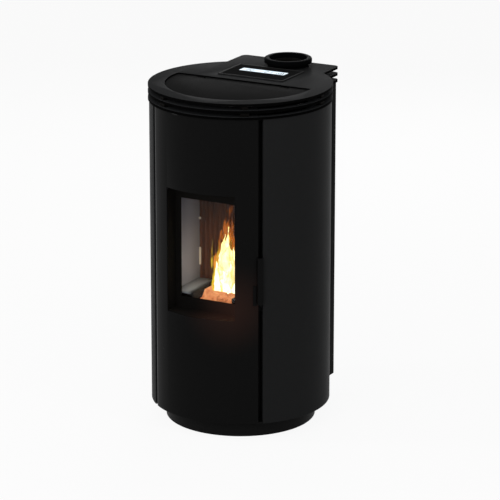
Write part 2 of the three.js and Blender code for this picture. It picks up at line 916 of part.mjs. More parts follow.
// The bin as a solid, drawn in by an inset: its floor slopes from the lid's front edge to the auger.
function bin(inset, topZ, footZ) {
  const radius = hopperRadius - inset;
  const bendHalf = hopperBendHalf - inset;
  const bendFront = outletY + hopperBendLap + inset;
  const inletMiddle = (inletFront + inletRear) / 2;
  const footHalf = inletHalfWidth + inletWall - inset;
  const footFront = inletFront - inletWall + inset;
  const footRear = inletRear + inletWall - inset;
  const rear = hopperRearLimit - inset;
  return loft([
    binLoop(footZ, footFront, inletMiddle, footRear, footHalf, footHalf),
    binLoop(hopperFoot + hopperSpout, footFront, inletMiddle, footRear, footHalf, footHalf),
    binLoop(hopperBend, bendFront, hopperBendMiddle, rear - hopperRearSlope, bendHalf, bendHalf * 0.75),
    binLoop(topZ, -radius, 0, rear, radius, hopperRearHalf - inset),
  ]);
}

function hopperNeck(inset, z0, z1) {
  const radius = hopperRadius - inset;
  const rear = hopperChord - inset;
  return loft([z0, z1].map((z) => binLoop(z, -radius, 0, rear, radius, radius)));
}

function buildHopper() {
  const binTop = middlePlateTop - neckDepth;
  const flangeTop = middlePlateTop + 2;
  const outer = join(
    bin(0, binTop, hopperFoot),
    hopperNeck(0, binTop - 5, flangeTop),
    prism(halfRound(hopperRadius + hopperFlangeWidth, hopperChord + hopperFlange), middlePlateTop, flangeTop),
    inletFlange(hopperFoot, hopperFoot + 2),
  );
  const inner = join(
    bin(hopperWall, binTop - hopperWall, hopperFoot - 1),
    hopperNeck(hopperWall, binTop - 6, flangeTop + 1),
  );
  const rest = middlePlateTop - gridDrop - gridThickness;
  const tabs = [-2 * spacerAngle, 0, 2 * spacerAngle].map((angle) => {
    return prism(sector(hopperRadius - 12, hopperRadius - 1, angle - 2, angle + 2), rest - 2, rest);
  });
  add("hopper", join(cut(outer, inner), ...tabs), galvanised());
}

function inletFlange(z0, z1) {
  const lap = inletWall + inletLap;
  return block(-inletHalfWidth - lap, inletHalfWidth + lap, inletFront - lap, inletRear + lap, z0, z1);
}

function buildHopperGrid() {
  const radius = hopperRadius - hopperWall - 1.2;
  const chord = hopperChord - hopperWall - seat;
  const z1 = middlePlateTop - gridDrop;
  const z0 = z1 - gridThickness;
  const plate = prism(halfRound(radius, chord), z0, z1);
  const ring = halfRound(radius - gridBar, chord - gridBar);
  const hole = gridPitch - gridBar;
  const columns = Math.floor(radius / gridPitch);
  const windows = [];
  for (let i = -columns; i < columns; i += 1) {
    for (let j = 0; j * gridPitch < radius; j += 1) {
      const x = i * gridPitch + gridBar / 2;
      const y = chord - gridBar - j * gridPitch;
      windows.push(block(x, x + hole, y - hole, y, z0 - 1, z1 + 1));
    }
  }
  const cutter = common(prism(ring, z0 - 1, z1 + 1), join(...windows));
  add("hopper_grid", cut(plate, cutter), bareSteel());
}

function buildLidGasket() {
  const z0 = middlePlateTop + 2;
  const outer = halfRound(hopperRadius + hopperFlangeWidth - 2, hopperChord + hopperFlange - 0.5);
  const inner = halfRound(hopperRadius, hopperChord - 3);
  outer.holes.push(inner);
  add("lid_gasket", prism(outer, z0, lidBottom - seat), ropeGrey());
}

// ---- Display ----

function buildDisplay() {
  const rim = bezelRim;
  const top = topPlateTop + bezelRise;
  const panelZ = top - 1.2;
  const trayHalf = displayHalfWidth - rim;
  const trayFront = displayFront + rim;
  const trayRear = displayRear - rim;
  const trayBottom = top - displayTrayDepth;
  const wall = displayTrayWall;
  const frame = block(-displayHalfWidth, displayHalfWidth, displayFront, displayRear, topPlateTop, top);
  const tray = block(-trayHalf, trayHalf, trayFront, trayRear, trayBottom, topPlateTop + 1);
  const half = trayHalf - wall;
  const front = trayFront + wall;
  const back = trayRear - wall;
  const pocket = block(-half, half, front, back, trayBottom + wall, top + 1);
  add("display_bezel", cut(join(frame, tray), pocket), satinBlack());

  const under = panelZ - panelThickness;
  const sheet = block(seat - half, half - seat, front + seat, back - seat, under, panelZ);
  const rear = screenFront + screenDepth;
  const aperture = block(-screenHalfWidth, screenHalfWidth, screenFront, rear, under - 1, panelZ + 1);
  add("display_panel", cut(sheet, aperture), glossBlack());

  const foot = trayBottom + wall;
  const screen = block(
    -screenHalfWidth + seat,
    screenHalfWidth - seat,
    screenFront + seat,
    rear - seat,
    panelZ - screenThickness,
    panelZ - seat,
  );
  const board = block(-screenHalfWidth - 8, screenHalfWidth + 8, screenFront - 8, rear + 8, foot, foot + 2);
  const column = block(-10, 10, screenFront + 5, rear - 5, foot + 1, panelZ - screenThickness + 1);
  add("display_screen", join(screen, board, column), finish(0xe8eef2, 0.3, 0));
}

// ---- Flue ----

function buildFlueCollar() {
  const z = topPlateTop;
  const rimBottom = collarTop - collarRimHeight;
  const collar = turned([
    [flueRadius + seat, z],
    [collarBaseRadius, z],
    [collarBaseRadius, rimBottom - 1],
    [collarRimRadius, rimBottom],
    [collarRimRadius, collarTop - 3],
    [collarRimRadius - 3, collarTop],
    [collarBore, collarTop],
    [collarBore, z + 3],
    [flueRadius + seat, z + 3],
    [flueRadius + seat, z],
  ], 36);
  add("flue_collar", collar, plateGrey()).position.set(flueX, flueY, 0);
}

function buildFlueRiser() {
  const foot = smokeFanMouth;
  const top = collarTop - pipeRecess;
  const riser = turned([
    [flueRadius - flueWall, foot],
    [flueRadius, foot],
    [flueRadius, top],
    [flueRadius - flueWall, top],
    [flueRadius - flueWall, foot],
  ], 32);
  add("flue_riser", riser, matteBlack()).position.set(flueX, flueY, 0);
}

// ---- Door ----

function windowBlock(inset, y0, y1) {
  const half = windowHalfWidth - inset;
  return block(-half, half, y0, y1, windowBottom + inset, windowTop - inset);
}

// The curved skin with folded edges, the hinge lugs on its left and the lever's bearing on its right.
function buildDoorPanel() {
  const foldAngle = degrees(doorSheet / bodyRadius);
  const skin = prism(sector(doorInner, bodyRadius, -doorHalfAngle, doorHalfAngle), plinthHeight, bodyTop);
  const opening = windowBlock(0, -bodyRadius - 1, -doorInner / 2);
  const foldBottom = baseTop + 2;
  const foldTop = capBottom - 2;
  const folds = [-1, 1].map((side) => {
    const shape = sector(
      doorInner - doorReturn,
      doorInner + 1,
      side * (doorHalfAngle - foldAngle),
      side * doorHalfAngle,
    );
    return prism(shape, foldBottom, foldTop);
  });
  const lugs = [foldBottom + 1, foldTop - 1 - hingeLugThickness].map(hingeLug);
  const whole = join(cut(skin, opening), ...folds, ...lugs.map((lug) => lug.solid), ...leverBracket());
  add("door_panel", cut(whole, ...lugs.map((lug) => lug.bore), leverBore()), glossBlack());
}

function hingeLug(z) {
  const centre = polar(hingeRadius, -hingeAngle);
  const eye = rod(hingeLugRadius, z, z + hingeLugThickness, 16).translate(centre.x, centre.y, 0);
  const shape = sector(hingeRadius - 4, hingeRadius + 3, -hingeAngle, -doorHalfAngle + 0.5);
  const bore = rod(hingePinRadius + pinClearance, z - 1, z + hingeLugThickness + 1, 12);
  return {
    solid: join(eye, prism(shape, z, z + hingeLugThickness)),
    bore: bore.translate(centre.x, centre.y, 0),
  };
}

// The inner frame: a flat plate behind the window, with the reveal that reaches out to the skin.
function buildDoorFrame() {
  const plate = block(-frameHalfWidth, frameHalfWidth, -frameDepth, frameBack, frameBottom, frameTop);
  const outside = windowBlock(-revealWall, -bodyRadius, -frameDepth + 1);
  const tunnel = cut(outside, windowBlock(0, -bodyRadius - 1, -frameDepth));
  const reach = turned([[0, 0], [doorInner - seat, 0], [doorInner - seat, capBottom], [0, capBottom]], 90);
  const clear = sightBlock(0, -frameDepth - 1, frameBack + 1);
  add("door_frame", cut(join(plate, common(tunnel, reach)), clear), satinBlack());
}

// A block over the clear opening, grown on all four sides.
function sightBlock(grow, y0, y1) {
  const half = clearHalfWidth + grow;
  return block(-half, half, y0, y1, clearBottom - grow, clearTop + grow);
}

function buildDoorGlass() {
  add("door_glass", sightBlock(glassLap, frameBack, frameBack + glassThickness), clearGlass());
}

// A pressed frame holds the glass against the door frame.
function buildGlassRetainer() {
  const back = frameBack + glassThickness;
  const body = sightBlock(glassLap + retainerFlange, frameBack, back + retainerSheet);
  const pocket = sightBlock(glassLap + 1, frameBack - 1, back);
  const sight = sightBlock(2, frameBack - 1, back + retainerSheet + 1);
  add("glass_retainer", cut(body, pocket, sight), satinBlack());
}

function buildDoorGasket() {
  const inset = 2;
  const outer = frameHalfWidth - inset;
  const inner = outer - gasketWidth;
  const z0 = frameBottom + inset;
  const z1 = frameTop - inset;
  const rope = rectangle(-outer, outer, z0, z1);
  rope.holes.push(rectangle(-inner, inner, z0 + gasketWidth, z1 - gasketWidth));
  add("door_gasket", prismY(rope, frameBack, frameBack + gasketDepth), ropeGrey());
}

// ---- Latch lever ----

function placeInGroove(geometry) {
  geometry.rotateZ(radians(hingeAngle));
  return geometry;
}

// Pairs of radius and height, drawn in the groove's plane; the prism runs from w0 to w1 across it.
function leverPrism(pairs, w0, w1) {
  const shape = polygon(pairs.map(([radius, z]) => [-radius, z]));
  return placeInGroove(prismX(shape, w0, w1));
}

function leverBracket() {
  const pivot = leverPivotRadius;
  const z0 = leverPivotHeight - 3;
  const root = -grooveWidth / 2;
  const z1 = z0 + bracketHeight;
  const back = pivot - bracketWall;
  const outline = [[back, z0], [bodyRadius, z0], [bodyRadius, z1], [back, z1]];
  const cheek = leverPrism(outline, root - 1, -bracketFace);
  const edge = hingeAngle - degrees((leverWidth - leverLap + seat) / bodyRadius);
  const width = degrees(bracketWidth / bodyRadius);
  const face = sector(bodyRadius - 1, bodyRadius + bracketThickness, edge - width, edge);
  return [cheek, prism(face, z0, z1)];
}

function leverBore() {
  const bore = alongX(rod(leverPinRadius + pinClearance, -grooveWidth, 0, 12));
  return placeInGroove(bore.translate(0, -leverPivotRadius, leverPivotHeight));
}

function buildLever() {
  const pivot = leverPivotRadius;
  const z = leverPivotHeight;
  const front = bodyRadius + leverStandoff;
  const top = z + leverHeight;
  const web = leverPrism(
    [
      [pivot - 5, z - 3],
      [pivot + 2, z - 5],
      [front + 1, z + 2],
      [front + 1, z + leverWebDepth * 3],
      [pivot - 5, z + leverWebDepth],
    ],
    -leverPlate,
    leverPlate,
  );
  const bar = leverPrism(
    [
      [front, z + 1],
      [front + leverThickness, z + 5],
      [front + leverThickness, top - 4],
      [front + leverThickness - 3, top],
      [front, top],
    ],
    leverLap - leverWidth,
    leverLap,
  );
  const armEnd = pivot - leverArm;
  const under = z - leverArmHeight / 2;
  const arm = leverPrism(
    [
      [armEnd, under - latchTooth],
      [armEnd + latchToothThickness, under - latchTooth],
      [armEnd + latchToothThickness, under],
      [pivot, under],
      [pivot, z + leverArmHeight / 2],
      [armEnd, z + leverArmHeight / 2],
    ],
    -leverPlate,
    leverPlate,
  );
  const pin = alongX(rod(leverPinRadius, -grooveWidth / 2 + 0.5, 0, 12)).translate(0, -pivot, z);
  add("door_lever", join(web, bar, arm, placeInGroove(pin)), bareSteel());
}

// ---- Firebox ----

function buildStand() {
  const outer = shellInner + shellSheet - 5;
  const front = shellFront + 15;
  const back = shellRear - 10;
  const body = block(-outer, outer, front, back, baseTop, shellBottom);
  const hollow = block(-outer + 2, outer - 2, front + 2, back + 1, baseTop - 1, shellBottom + 1);
  add("firebox_stand", cut(body, hollow), satinBlack());
}

function chuteSpan(grow) {
  const half = chuteHalfWidth + chuteWall + grow;
  const z1 = chuteTop + grow;
  const z0 = chuteTop - chuteHeight - 2 * chuteWall - grow;
  return [-half, half, z0, z1];
}

function chuteHole(y0, y1) {
  const [x0, x1, z0, z1] = chuteSpan(seat);
  return block(x0, x1, y0, y1, z0, z1);
}

// The smoke leaves over the baffle and enters the duct behind the shell.
function smokeHole(y0, y1) {
  return block(ductLeft + 4, ductRight - 4, y0, y1, smokePort, smokePort + smokePortHeight);
}

function buildFireboxShell() {
  const outer = shellInner + shellSheet;
  const body = block(-outer, outer, shellFront, shellRear, shellBottom, shellTop);
  const plateTop = frameTop + 4;
  const plate = block(-outer, outer, shellFront, shellFront + shellSheet, shellBottom, plateTop);
  const inside = shellFront + shellSheet;
  const panFloor = shellBottom + shellSheet;
  const cavity = block(-shellInner, shellInner, inside, shellRearInner, panFloor, shellTop - shellSheet);
  const openHalf = clearHalfWidth + openingMargin;
  const window = block(-openHalf, openHalf, shellFront - 1, inside + 1, floorTop, clearTop + openingMargin);
  const panHalf = panHalfWidth + 4;
  const panHole = block(-panHalf, panHalf, shellFront - 1, inside + 1, panFloor, panFloor + panHeight + 10);
  const intake = alongY(rod(intakeRadius + skinClearance, shellRearInner - 1, shellRear + 1));
  const igniter = alongY(rod(igniterRadius + seat, shellRearInner - 1, shellRear + 1, 12));
  const shell = cut(
    join(body, plate),
    cavity,
    window,
    panHole,
    intake.translate(intakeX, 0, intakeHeight),
    igniter.translate(0, 0, igniterHeight),
    smokeHole(shellRearInner - 1, shellRear + 1),
    chuteHole(shellRearInner - 1, shellRear + 1),
  );
  add("firebox_shell", shell, matteBlack());
}

// The floor casting: ledges at the sides and a channel in the middle that takes the burn pot.
function buildFireboxFloor() {
  const outer = shellInner - seat;
  const channel = channelHalfWidth;
  const wall = floorThickness;
  const section = polygon([
    [-outer, ledgeTop - wall],
    [-channel - wall, ledgeTop - wall],
    [-channel - wall, floorUnder],
    [channel + wall, floorUnder],
    [channel + wall, ledgeTop - wall],
    [outer, ledgeTop - wall],
    [outer, ledgeTop],
    [channel, ledgeTop],
    [channel, floorTop],
    [-channel, floorTop],
    [-channel, ledgeTop],
    [-outer, ledgeTop],
  ]);
  const front = shellFront + shellSheet + seat;
  const back = -fireboxRear - seat;
  const half = potShoulderHalf + 1.5;
  const hole = block(-half, half, -potFront - 1.5, -potRear + 1.5, floorUnder - 1, floorTop + 1);
  add("firebox_floor", cut(prismY(section, front, back), hole), castIron());
}

function buildLiners() {
  const front = shellFront + shellSheet + seat;
  const back = shellRearInner - seat;
  const outer = fireboxHalfWidth + sideLinerThickness;
  add("side_liner_left", block(-outer, -fireboxHalfWidth, front, back, ledgeTop, linerTop), vermiculite());
  add("side_liner_right", block(fireboxHalfWidth, outer, front, back, ledgeTop, linerTop), vermiculite());
  const half = fireboxHalfWidth - seat;
  const width = (2 * half) / fluteCount;
  const ridge = width * 0.2;
  const face = [];
  for (let i = 0; i < fluteCount; i += 1) {
    const x = -half + i * width;
    face.push(
      new THREE.Vector2(x + ridge / 2, -fireboxRear),
      new THREE.Vector2(x + width * 0.3, -fireboxRear + fluteDepth),
      new THREE.Vector2(x + width * 0.7, -fireboxRear + fluteDepth),
      new THREE.Vector2(x + width - ridge / 2, -fireboxRear),
    );
  }
  const outline = [
    new THREE.Vector2(-half, back),
    new THREE.Vector2(-half, -fireboxRear),
    ...face,
    new THREE.Vector2(half, -fireboxRear),
    new THREE.Vector2(half, back),
  ];
  const liner = prism(new THREE.Shape(outline), floorUnder, linerTop);
  add("rear_liner", cut(liner, chuteHole(-fireboxRear - 1, back + 1)), vermiculite());
}

function buildBaffle() {
  const half = shellInner - seat;
  const front = shellFront + shellSheet + smokeGap * 2;
  add("smoke_baffle", block(-half, half, front, shellRearInner - seat, linerTop, baffleTop), vermiculite());
}

// ---- Burn pot and ash pan ----

function potLoop(z, half, front, rear) {
  return flat(rectangle(-half, half, front, rear), z);
}

// The pot hangs by its flange in the floor, with a rim above and a sloping apron in front.
function buildBurnPot() {
  const rim = potRim;
  const foot = potFoot;
  const taper = potTaper;
  const shoulder = floorTop;
  const outer = loft([
    potLoop(foot, potFloorHalfWidth, -potFront + taper, -potRear - taper),
    potLoop(shoulder, potShoulderHalf, -potFront, -potRear),
    potLoop(rim, potRimHalfWidth, -potFront, -potRear),
  ]);
  const wall = potWall;
  const inner = loft([
    potLoop(foot + wall, potFloorHalfWidth - wall, -potFront + taper + wall, -potRear - taper - wall),
    potLoop(shoulder, potShoulderHalf - wall, -potFront + wall, -potRear - wall),
    potLoop(rim + 1, potRimHalfWidth - wall, -potFront + wall, -potRear - wall),
  ]);
  const flangeHalf = potRimHalfWidth + potFlange;
  const nose = -potFront - apronRun;
  const lip = shoulder + potWall;
  const flange = block(-flangeHalf, flangeHalf, nose, -potRear + potFlange, shoulder, lip);
  const slope = polygon([[1 - potFront, shoulder], [nose, shoulder], [nose, lip], [1 - potFront, rim]]);
  const apron = prismX(slope, -potRimHalfWidth, potRimHalfWidth);
  const holes = [];
  for (const x of [-24, -8, 8, 24]) {
    for (const share of [0.3, 0.5, 0.7]) {
      const y = THREE.MathUtils.lerp(-potFront + taper, -potRear - taper, share);
      holes.push(rod(potHoleRadius, foot - 1, foot + wall + 1, 6).translate(x, y, 0));
    }
  }
  add("burn_pot", cut(join(outer, flange, apron), inner, ...holes), castIron());
}

function buildAshPan() {
  const z = shellBottom + shellSheet;
  const front = shellFront - panSheet;
  const frontTop = frameBottom - 4;
  const frontHalf = panHalfWidth + panFrontMargin;
  const tray = block(-panHalfWidth, panHalfWidth, front, front + panDepth, z, z + panHeight);
  const face = block(-frontHalf, frontHalf, front, shellFront, z + 1, frontTop);
  const inner = panHalfWidth - panSheet;
  const back = front + panDepth - panSheet;
  const hollow = block(-inner, inner, shellFront, back, z + panSheet, z + panHeight + 1);
  const pullZ = z + panHeight / 2;
  const pull = front - pullDepth;
  const grip = block(-35, 35, pull, pull + 6, pullZ - 4, pullZ + 4);
  const stems = [-30, 30].map((x) => block(x - 4, x + 4, pull + 1, front + 1, pullZ - 3, pullZ + 3));
  add("ash_pan", cut(join(tray, face, grip, ...stems), hollow), galvanised());
}

// ---- Pellet feed ----

const augerFrame = new THREE.Group();
augerFrame.position.set(0, outletY, outletHeight);
augerFrame.rotation.x = radians(augerLean);
augerFrame.updateMatrixWorld(true);
stove.add(augerFrame);
const toAuger = augerFrame.matrixWorld.clone().invert();
const augerOuter = augerBore + augerWall;

// The tube with its upright inlet box; the pellets drop out of the slot at its upper end.
function buildAugerTube() {
  const floorDepth = augerOuter * 2 + 20;
  const half = inletHalfWidth;
  const wall = inletWall;
  const low = hopperFoot - inletRear - floorDepth;
  const box = block(-half - wall, half + wall, inletFront - wall, inletRear + wall, low, hopperFoot - seat);
  const flange = inletFlange(hopperFoot - 2 - seat, hopperFoot - seat);
  const shaft = block(-half, half, inletFront, inletRear, low - 1, hopperFoot + 1);
  const above = block(-augerOuter * 2, augerOuter * 2, 0, augerOuter * 4, -augerBelow, augerAbove + 200);
  const tube = rod(augerOuter, -augerBelow, augerAbove);
  const outerBox = common(join(box, flange).applyMatrix4(toAuger), above);
  const throat = common(shaft.applyMatrix4(toAuger), above);
  const bore = rod(augerBore, -augerBelow + augerWall, augerAbove - augerWall);
  const bearings = rod(screwShaft / 2 + pinClearance, -augerBelow - 1, augerAbove + 1, 16);
  const slot = block(-chuteHalfWidth, chuteHalfWidth, -augerOuter - 1, 0, -chuteHeight / 2, chuteHeight / 2);
  add("auger_tube", cut(join(tube, outerBox), bore, bearings, throat, slot), galvanised(), augerFrame);
}

// A flight of constant pitch, four corners to a step, from the gearmotor's end to the outlet.
function flight(z0, z1) {
  const stepsPerTurn = 12;
  const steps = Math.round(((z1 - z0 - flightThickness) / screwPitch) * stepsPerTurn);
  const positions = [];
  const triangles = [];
  for (let i = 0; i <= steps; i += 1) {
    const angle = (2 * Math.PI * i) / stepsPerTurn;
    const z = z0 + ((z1 - z0 - flightThickness) * i) / steps;
    const cos = Math.cos(angle);
    const sin = Math.sin(angle);
    const inner = screwShaft / 4;
    positions.push(inner * cos, inner * sin, z);
    positions.push(screwRadius * cos, screwRadius * sin, z);
    positions.push(screwRadius * cos, screwRadius * sin, z + flightThickness);
    positions.push(inner * cos, inner * sin, z + flightThickness);
  }
  for (let i = 0; i < steps; i += 1) {
    for (let k = 0; k < 4; k += 1) {
      const a = 4 * i + k;
      const b = 4 * i + ((k + 1) % 4);
      triangles.push(a, b, b + 4, a, b + 4, a + 4);
    }
  }
  const end = 4 * steps;
  triangles.push(0, 2, 1, 0, 3, 2, end, end + 1, end + 2, end, end + 2, end + 3);
  const geometry = new THREE.BufferGeometry();
  geometry.setAttribute("position", new THREE.Float32BufferAttribute(positions, 3));
  geometry.setIndex(triangles);
  return geometry;
}

function buildAugerScrew() {
  const low = -augerBelow + augerWall + 2;
  const high = augerAbove - augerWall - 2;
  const shaft = rod(screwShaft / 2, -augerBelow - gearboxDepth / 2, augerAbove + 4, 16);
  const core = rod(screwShaft, low, high, 16);
  add("auger_screw", join(shaft, core, flight(low, high)), bareSteel(), augerFrame);
}

function buildGearmotor() {
  const top = -augerBelow - seat;
  const gearbox = rod(gearboxRadius, top - gearboxDepth, top, 24);
  const motorTop = top - gearboxDepth;
  const motorFoot = motorTop - augerMotorDepth;
  const motor = rod(augerMotorRadius, motorFoot, motorTop + 1).translate(0, -8, 0);
  const boss = rod(12, motorFoot - 4, motorFoot + 1, 16).translate(0, -8, 0);
  const socket = rod(screwShaft / 2 + pinClearance, top - gearboxDepth / 2 - 2, top + 1, 16);
  add("auger_gearmotor", cut(join(gearbox, motor, boss), socket), satinBlack(), augerFrame);
}

// The chute falls from the auger's slot through the back of the firebox to above the burn pot.
function buildChute() {
  const half = chuteHalfWidth + chuteWall;
  const [, , z0, z1] = chuteSpan(0);
  const front = -fireboxRear - chuteLip;
  const mouthY = shellRear + 3;
  const rise = 30;
  const reach = outletY;
  const outline = (inset, back) => polygon([
    [front - (inset ? 1 : 0), z0 + inset],
    [mouthY, z0 + inset],
    [reach + back, z0 + inset + rise],
    [reach + back, z1 + rise + 60],
    [mouthY, z1 - inset],
    [front - (inset ? 1 : 0), z1 - inset],
  ]);
  const outer = prismX(outline(0, 0), -half, half);
  const inner = prismX(outline(chuteWall, 1), -chuteHalfWidth, chuteHalfWidth);
  const clearTube = rod(augerOuter + seat, -augerBelow, augerAbove + 60).applyMatrix4(augerFrame.matrixWorld);
  const cap = block(-half - 1, half + 1, mouthY - 1, reach + 2, z1 + 12, z1 + rise + 80);
  add("pellet_chute", cut(outer, inner, clearTube, cap), galvanised());
}

// ---- Fans ----

// A volute in the YZ plane: a spiral from the cut-off round to the wide side, then the mouth upwards.
function scroll(tight, wide, mouth, height, inset, open) {
  const start = degrees(Math.acos((wide - mouth + inset) / (tight - inset)));
  const steps = 15;
  const spiral = Array.from({ length: steps + 1 }, (_, i) => {
    const angle = radians(start + ((360 - start) * i) / steps);
    const radius = THREE.MathUtils.lerp(tight, wide, i / steps) - inset;
    return [radius * Math.cos(angle), radius * Math.sin(angle)];
  });
  return [...spiral, [wide - inset, height + open], [wide - mouth + inset, height + open]];
}

function fanHousing({ y, z, side, x0, x1, sizes, inlets, inletRadius }) {
  const outline = (inset, open) => {
    return polygon(scroll(...sizes, inset, open).map(([u, v]) => [y + side * u, z + v]));
  };
  const outer = prismX(outline(0, 0), x0, x1);
  const inner = prismX(outline(fanWall, 1), x0 + fanWall, x1 - fanWall);
  const holes = inlets.map((x) => {
    return alongX(rod(inletRadius, x - fanWall - 1, x + fanWall + 1)).translate(0, y, z);
  });
  return cut(outer, inner, ...holes);
}

// Blades set round a drum, leaning in the direction of rotation.
function bladeDrum(radius, x0, x1, count, chord, lean, thickness) {
  const blades = Array.from({ length: count }, (_, i) => {
    const blade = block(x0, x1, -thickness / 2, thickness / 2, -chord / 2, chord / 2);
    blade.rotateX(radians(lean));
    blade.translate(0, 0, radius - chord * 0.55);
    return blade.rotateX((2 * Math.PI * i) / count);
  });
  return blades;
}

function buildSmokeFan() {
  const place = { y: smokeFanY, z: smokeFanHeight };
  const housing = fanHousing({
    ...place,
    side: 1,
    x0: smokeFanLeft,
    x1: smokeFanRight,
    sizes: [smokeTight, smokeWide, smokeMouth, smokeMouthHeight],
    inlets: [smokeFanLeft],
    inletRadius: spigotRadius - fanWall,
  });
  const top = smokeFanMouth;
  const mouthRear = smokeFanY + smokeWide;
  const mouthFront = mouthRear - smokeMouth;
  const lidPlate = block(smokeFanLeft, smokeFanRight, mouthFront, mouthRear, top - fanWall, top);
  const outlet = rod(flueRadius - flueWall, top - fanWall - 1, top + 1).translate(flueX, flueY, 0);
  const spigot = alongX(pipe(spigotRadius - fanWall, spigotRadius, ductRight - ductWall, smokeFanLeft + 1));
  const shaftHole = alongX(rod(fanShaft + pinClearance, smokeFanRight - fanWall - 1, smokeFanRight + 1, 12));
  spigot.translate(0, smokeFanY, smokeFanHeight);
  shaftHole.translate(0, smokeFanY, smokeFanHeight);
  add("smoke_fan_housing", cut(join(housing, lidPlate, spigot), outlet, shaftHole), galvanised());

  const wheelLeft = smokeFanLeft + fanWall + 6;
  const wheelRight = smokeFanRight - fanWall - 6;
  const disc = alongX(rod(smokeWheelRadius, wheelRight - 3, wheelRight, 32));
  const blades = Array.from({ length: smokeBlades }, (_, i) => {
    const blade = block(wheelLeft, wheelRight - 1, -1.2, 1.2, 14, smokeWheelRadius);
    return blade.rotateX((2 * Math.PI * i) / smokeBlades);
  });
  const hub = alongX(rod(15, wheelLeft + 10, wheelRight, 16));
  const axle = alongX(rod(fanShaft, wheelRight - 1, smokeFanRight + 12, 12));
  const wheel = join(disc, hub, axle, ...blades);
  add("smoke_impeller", wheel, bareSteel()).position.set(0, smokeFanY, smokeFanHeight);
  add("smoke_fan_motor", fanMotor(smokeMotorRadius, smokeFanRight, smokeMotorLength), matteBlack())
    .position.set(0, smokeFanY, smokeFanHeight);
}

// A finned motor on the right of a fan, with a blind hole for the wheel's axle.
function fanMotor(radius, x, length) {
  const fin = 5;
  const profile = [[0, x], [radius - 4, x]];
  for (let z = x + 2; z + 2 * fin < x + length - 6; z += 2 * fin) {
    profile.push([radius - 4, z], [radius, z], [radius, z + fin], [radius - 4, z + fin]);
  }
  profile.push([radius - 4, x + length - 6], [radius - 10, x + length], [0, x + length]);
  const socket = rod(fanShaft + pinClearance, x - 1, x + 14, 12);
  return alongX(cut(turned(profile, 12), socket));
}

function buildRoomFan() {
  const half = roomFanHalfLength;
  const housing = fanHousing({
    y: roomFanY,
    z: roomFanHeight,
    side: -1,
    x0: -half,
    x1: half,
    sizes: [roomTight, roomWide, roomMouth, roomMouthHeight],
    inlets: [-half],
    inletRadius: roomInletRadius,
  });
  const shaftHole = alongX(rod(fanShaft + pinClearance, half - fanWall - 1, half + 1, 12));
  const feet = [-1, 1].map((side) => {
    const x = side * (half - 10);
    return block(x - 8, x + 8, roomFanY - 25, roomFanY + 25, baseTop, roomFanHeight - roomTight);
  });
  const inside = [-half + fanWall, half - fanWall];
  const free = alongX(rod(roomTight - fanWall, ...inside, 32)).translate(0, roomFanY, roomFanHeight);
  const whole = cut(join(housing, ...feet), free, shaftHole.translate(0, roomFanY, roomFanHeight));
  add("room_fan_housing", whole, galvanised());

  const x0 = -roomWheelHalfLength;
  const x1 = roomWheelHalfLength;
  const blades = bladeDrum(roomWheelRadius, x0 + 1, x1 - 1, roomBlades, 14, 35, 1.6);
  const ring = alongX(pipe(roomWheelRadius - 15, roomWheelRadius, x0, x0 + 3, 32));
  const disc = alongX(rod(roomWheelRadius, x1 - 3, x1, 32));
  const axle = alongX(rod(fanShaft, x1 - 2, half + 12, 12));
  const wheel = join(ring, disc, axle, ...blades);
  add("room_fan_wheel", wheel, bareSteel()).position.set(0, roomFanY, roomFanHeight);
  add("room_fan_motor", fanMotor(roomMotorRadius, half, roomMotorLength), matteBlack())
    .position.set(0, roomFanY, roomFanHeight);
}

// The smoke duct: down behind the firebox, then back to the smoke fan's spigot.
function buildSmokeDuct() {
  const front = shellRear;
  const top = baffleTop + smokeGap;
  const rear = smokeFanY + spigotRadius + 12;
  const elbow = (inset) => polygon([
    [front + inset, ductBottom + inset],
    [rear - inset, ductBottom + inset],
    [rear - inset, ductBottom + ductRun - inset],
    [front + ductDepth - inset, ductBottom + ductRun - inset],
    [front + ductDepth - inset, top - inset],
    [front + inset, top - inset],
  ]);
  const outer = prismX(elbow(0), ductLeft, ductRight);
  const inner = prismX(elbow(ductWall), ductLeft + ductWall, ductRight - ductWall);
  const port = smokeHole(front - 1, front + ductWall + 1);
  const hole = alongX(rod(spigotRadius + seat, ductRight - ductWall - 1, ductRight + 1));
  hole.translate(0, smokeFanY, smokeFanHeight);
  add("smoke_duct", cut(outer, inner, port, hole), galvanised());
}

// ---- Air intake, igniter and electrics ----

function buildIntake() {
  const back = rearDepth + panelSheet + intakeProud;
  const tube = alongY(pipe(intakeRadius - intakeWall, intakeRadius, shellRearInner, back));
  add("air_intake_pipe", tube.translate(intakeX, 0, intakeHeight), galvanised());
}

function buildIgniter() {
  const tip = -potRear + igniterReach;
  const heater = rod(igniterRadius, tip, shellRear + 55, 16);
  const flange = rod(igniterRadius * 2, shellRear, shellRear + 4, 16);
  add("igniter", alongY(join(heater, flange)).translate(0, 0, igniterHeight), bareSteel());
}

function socketSpan(grow) {
  const half = (socketWidth + switchWidth) / 2 + 3 + grow;
  const z = socketHeight / 2 + 3 + grow;
  return [inletX - half, inletX + half, serviceHeight - z, serviceHeight + z];
}

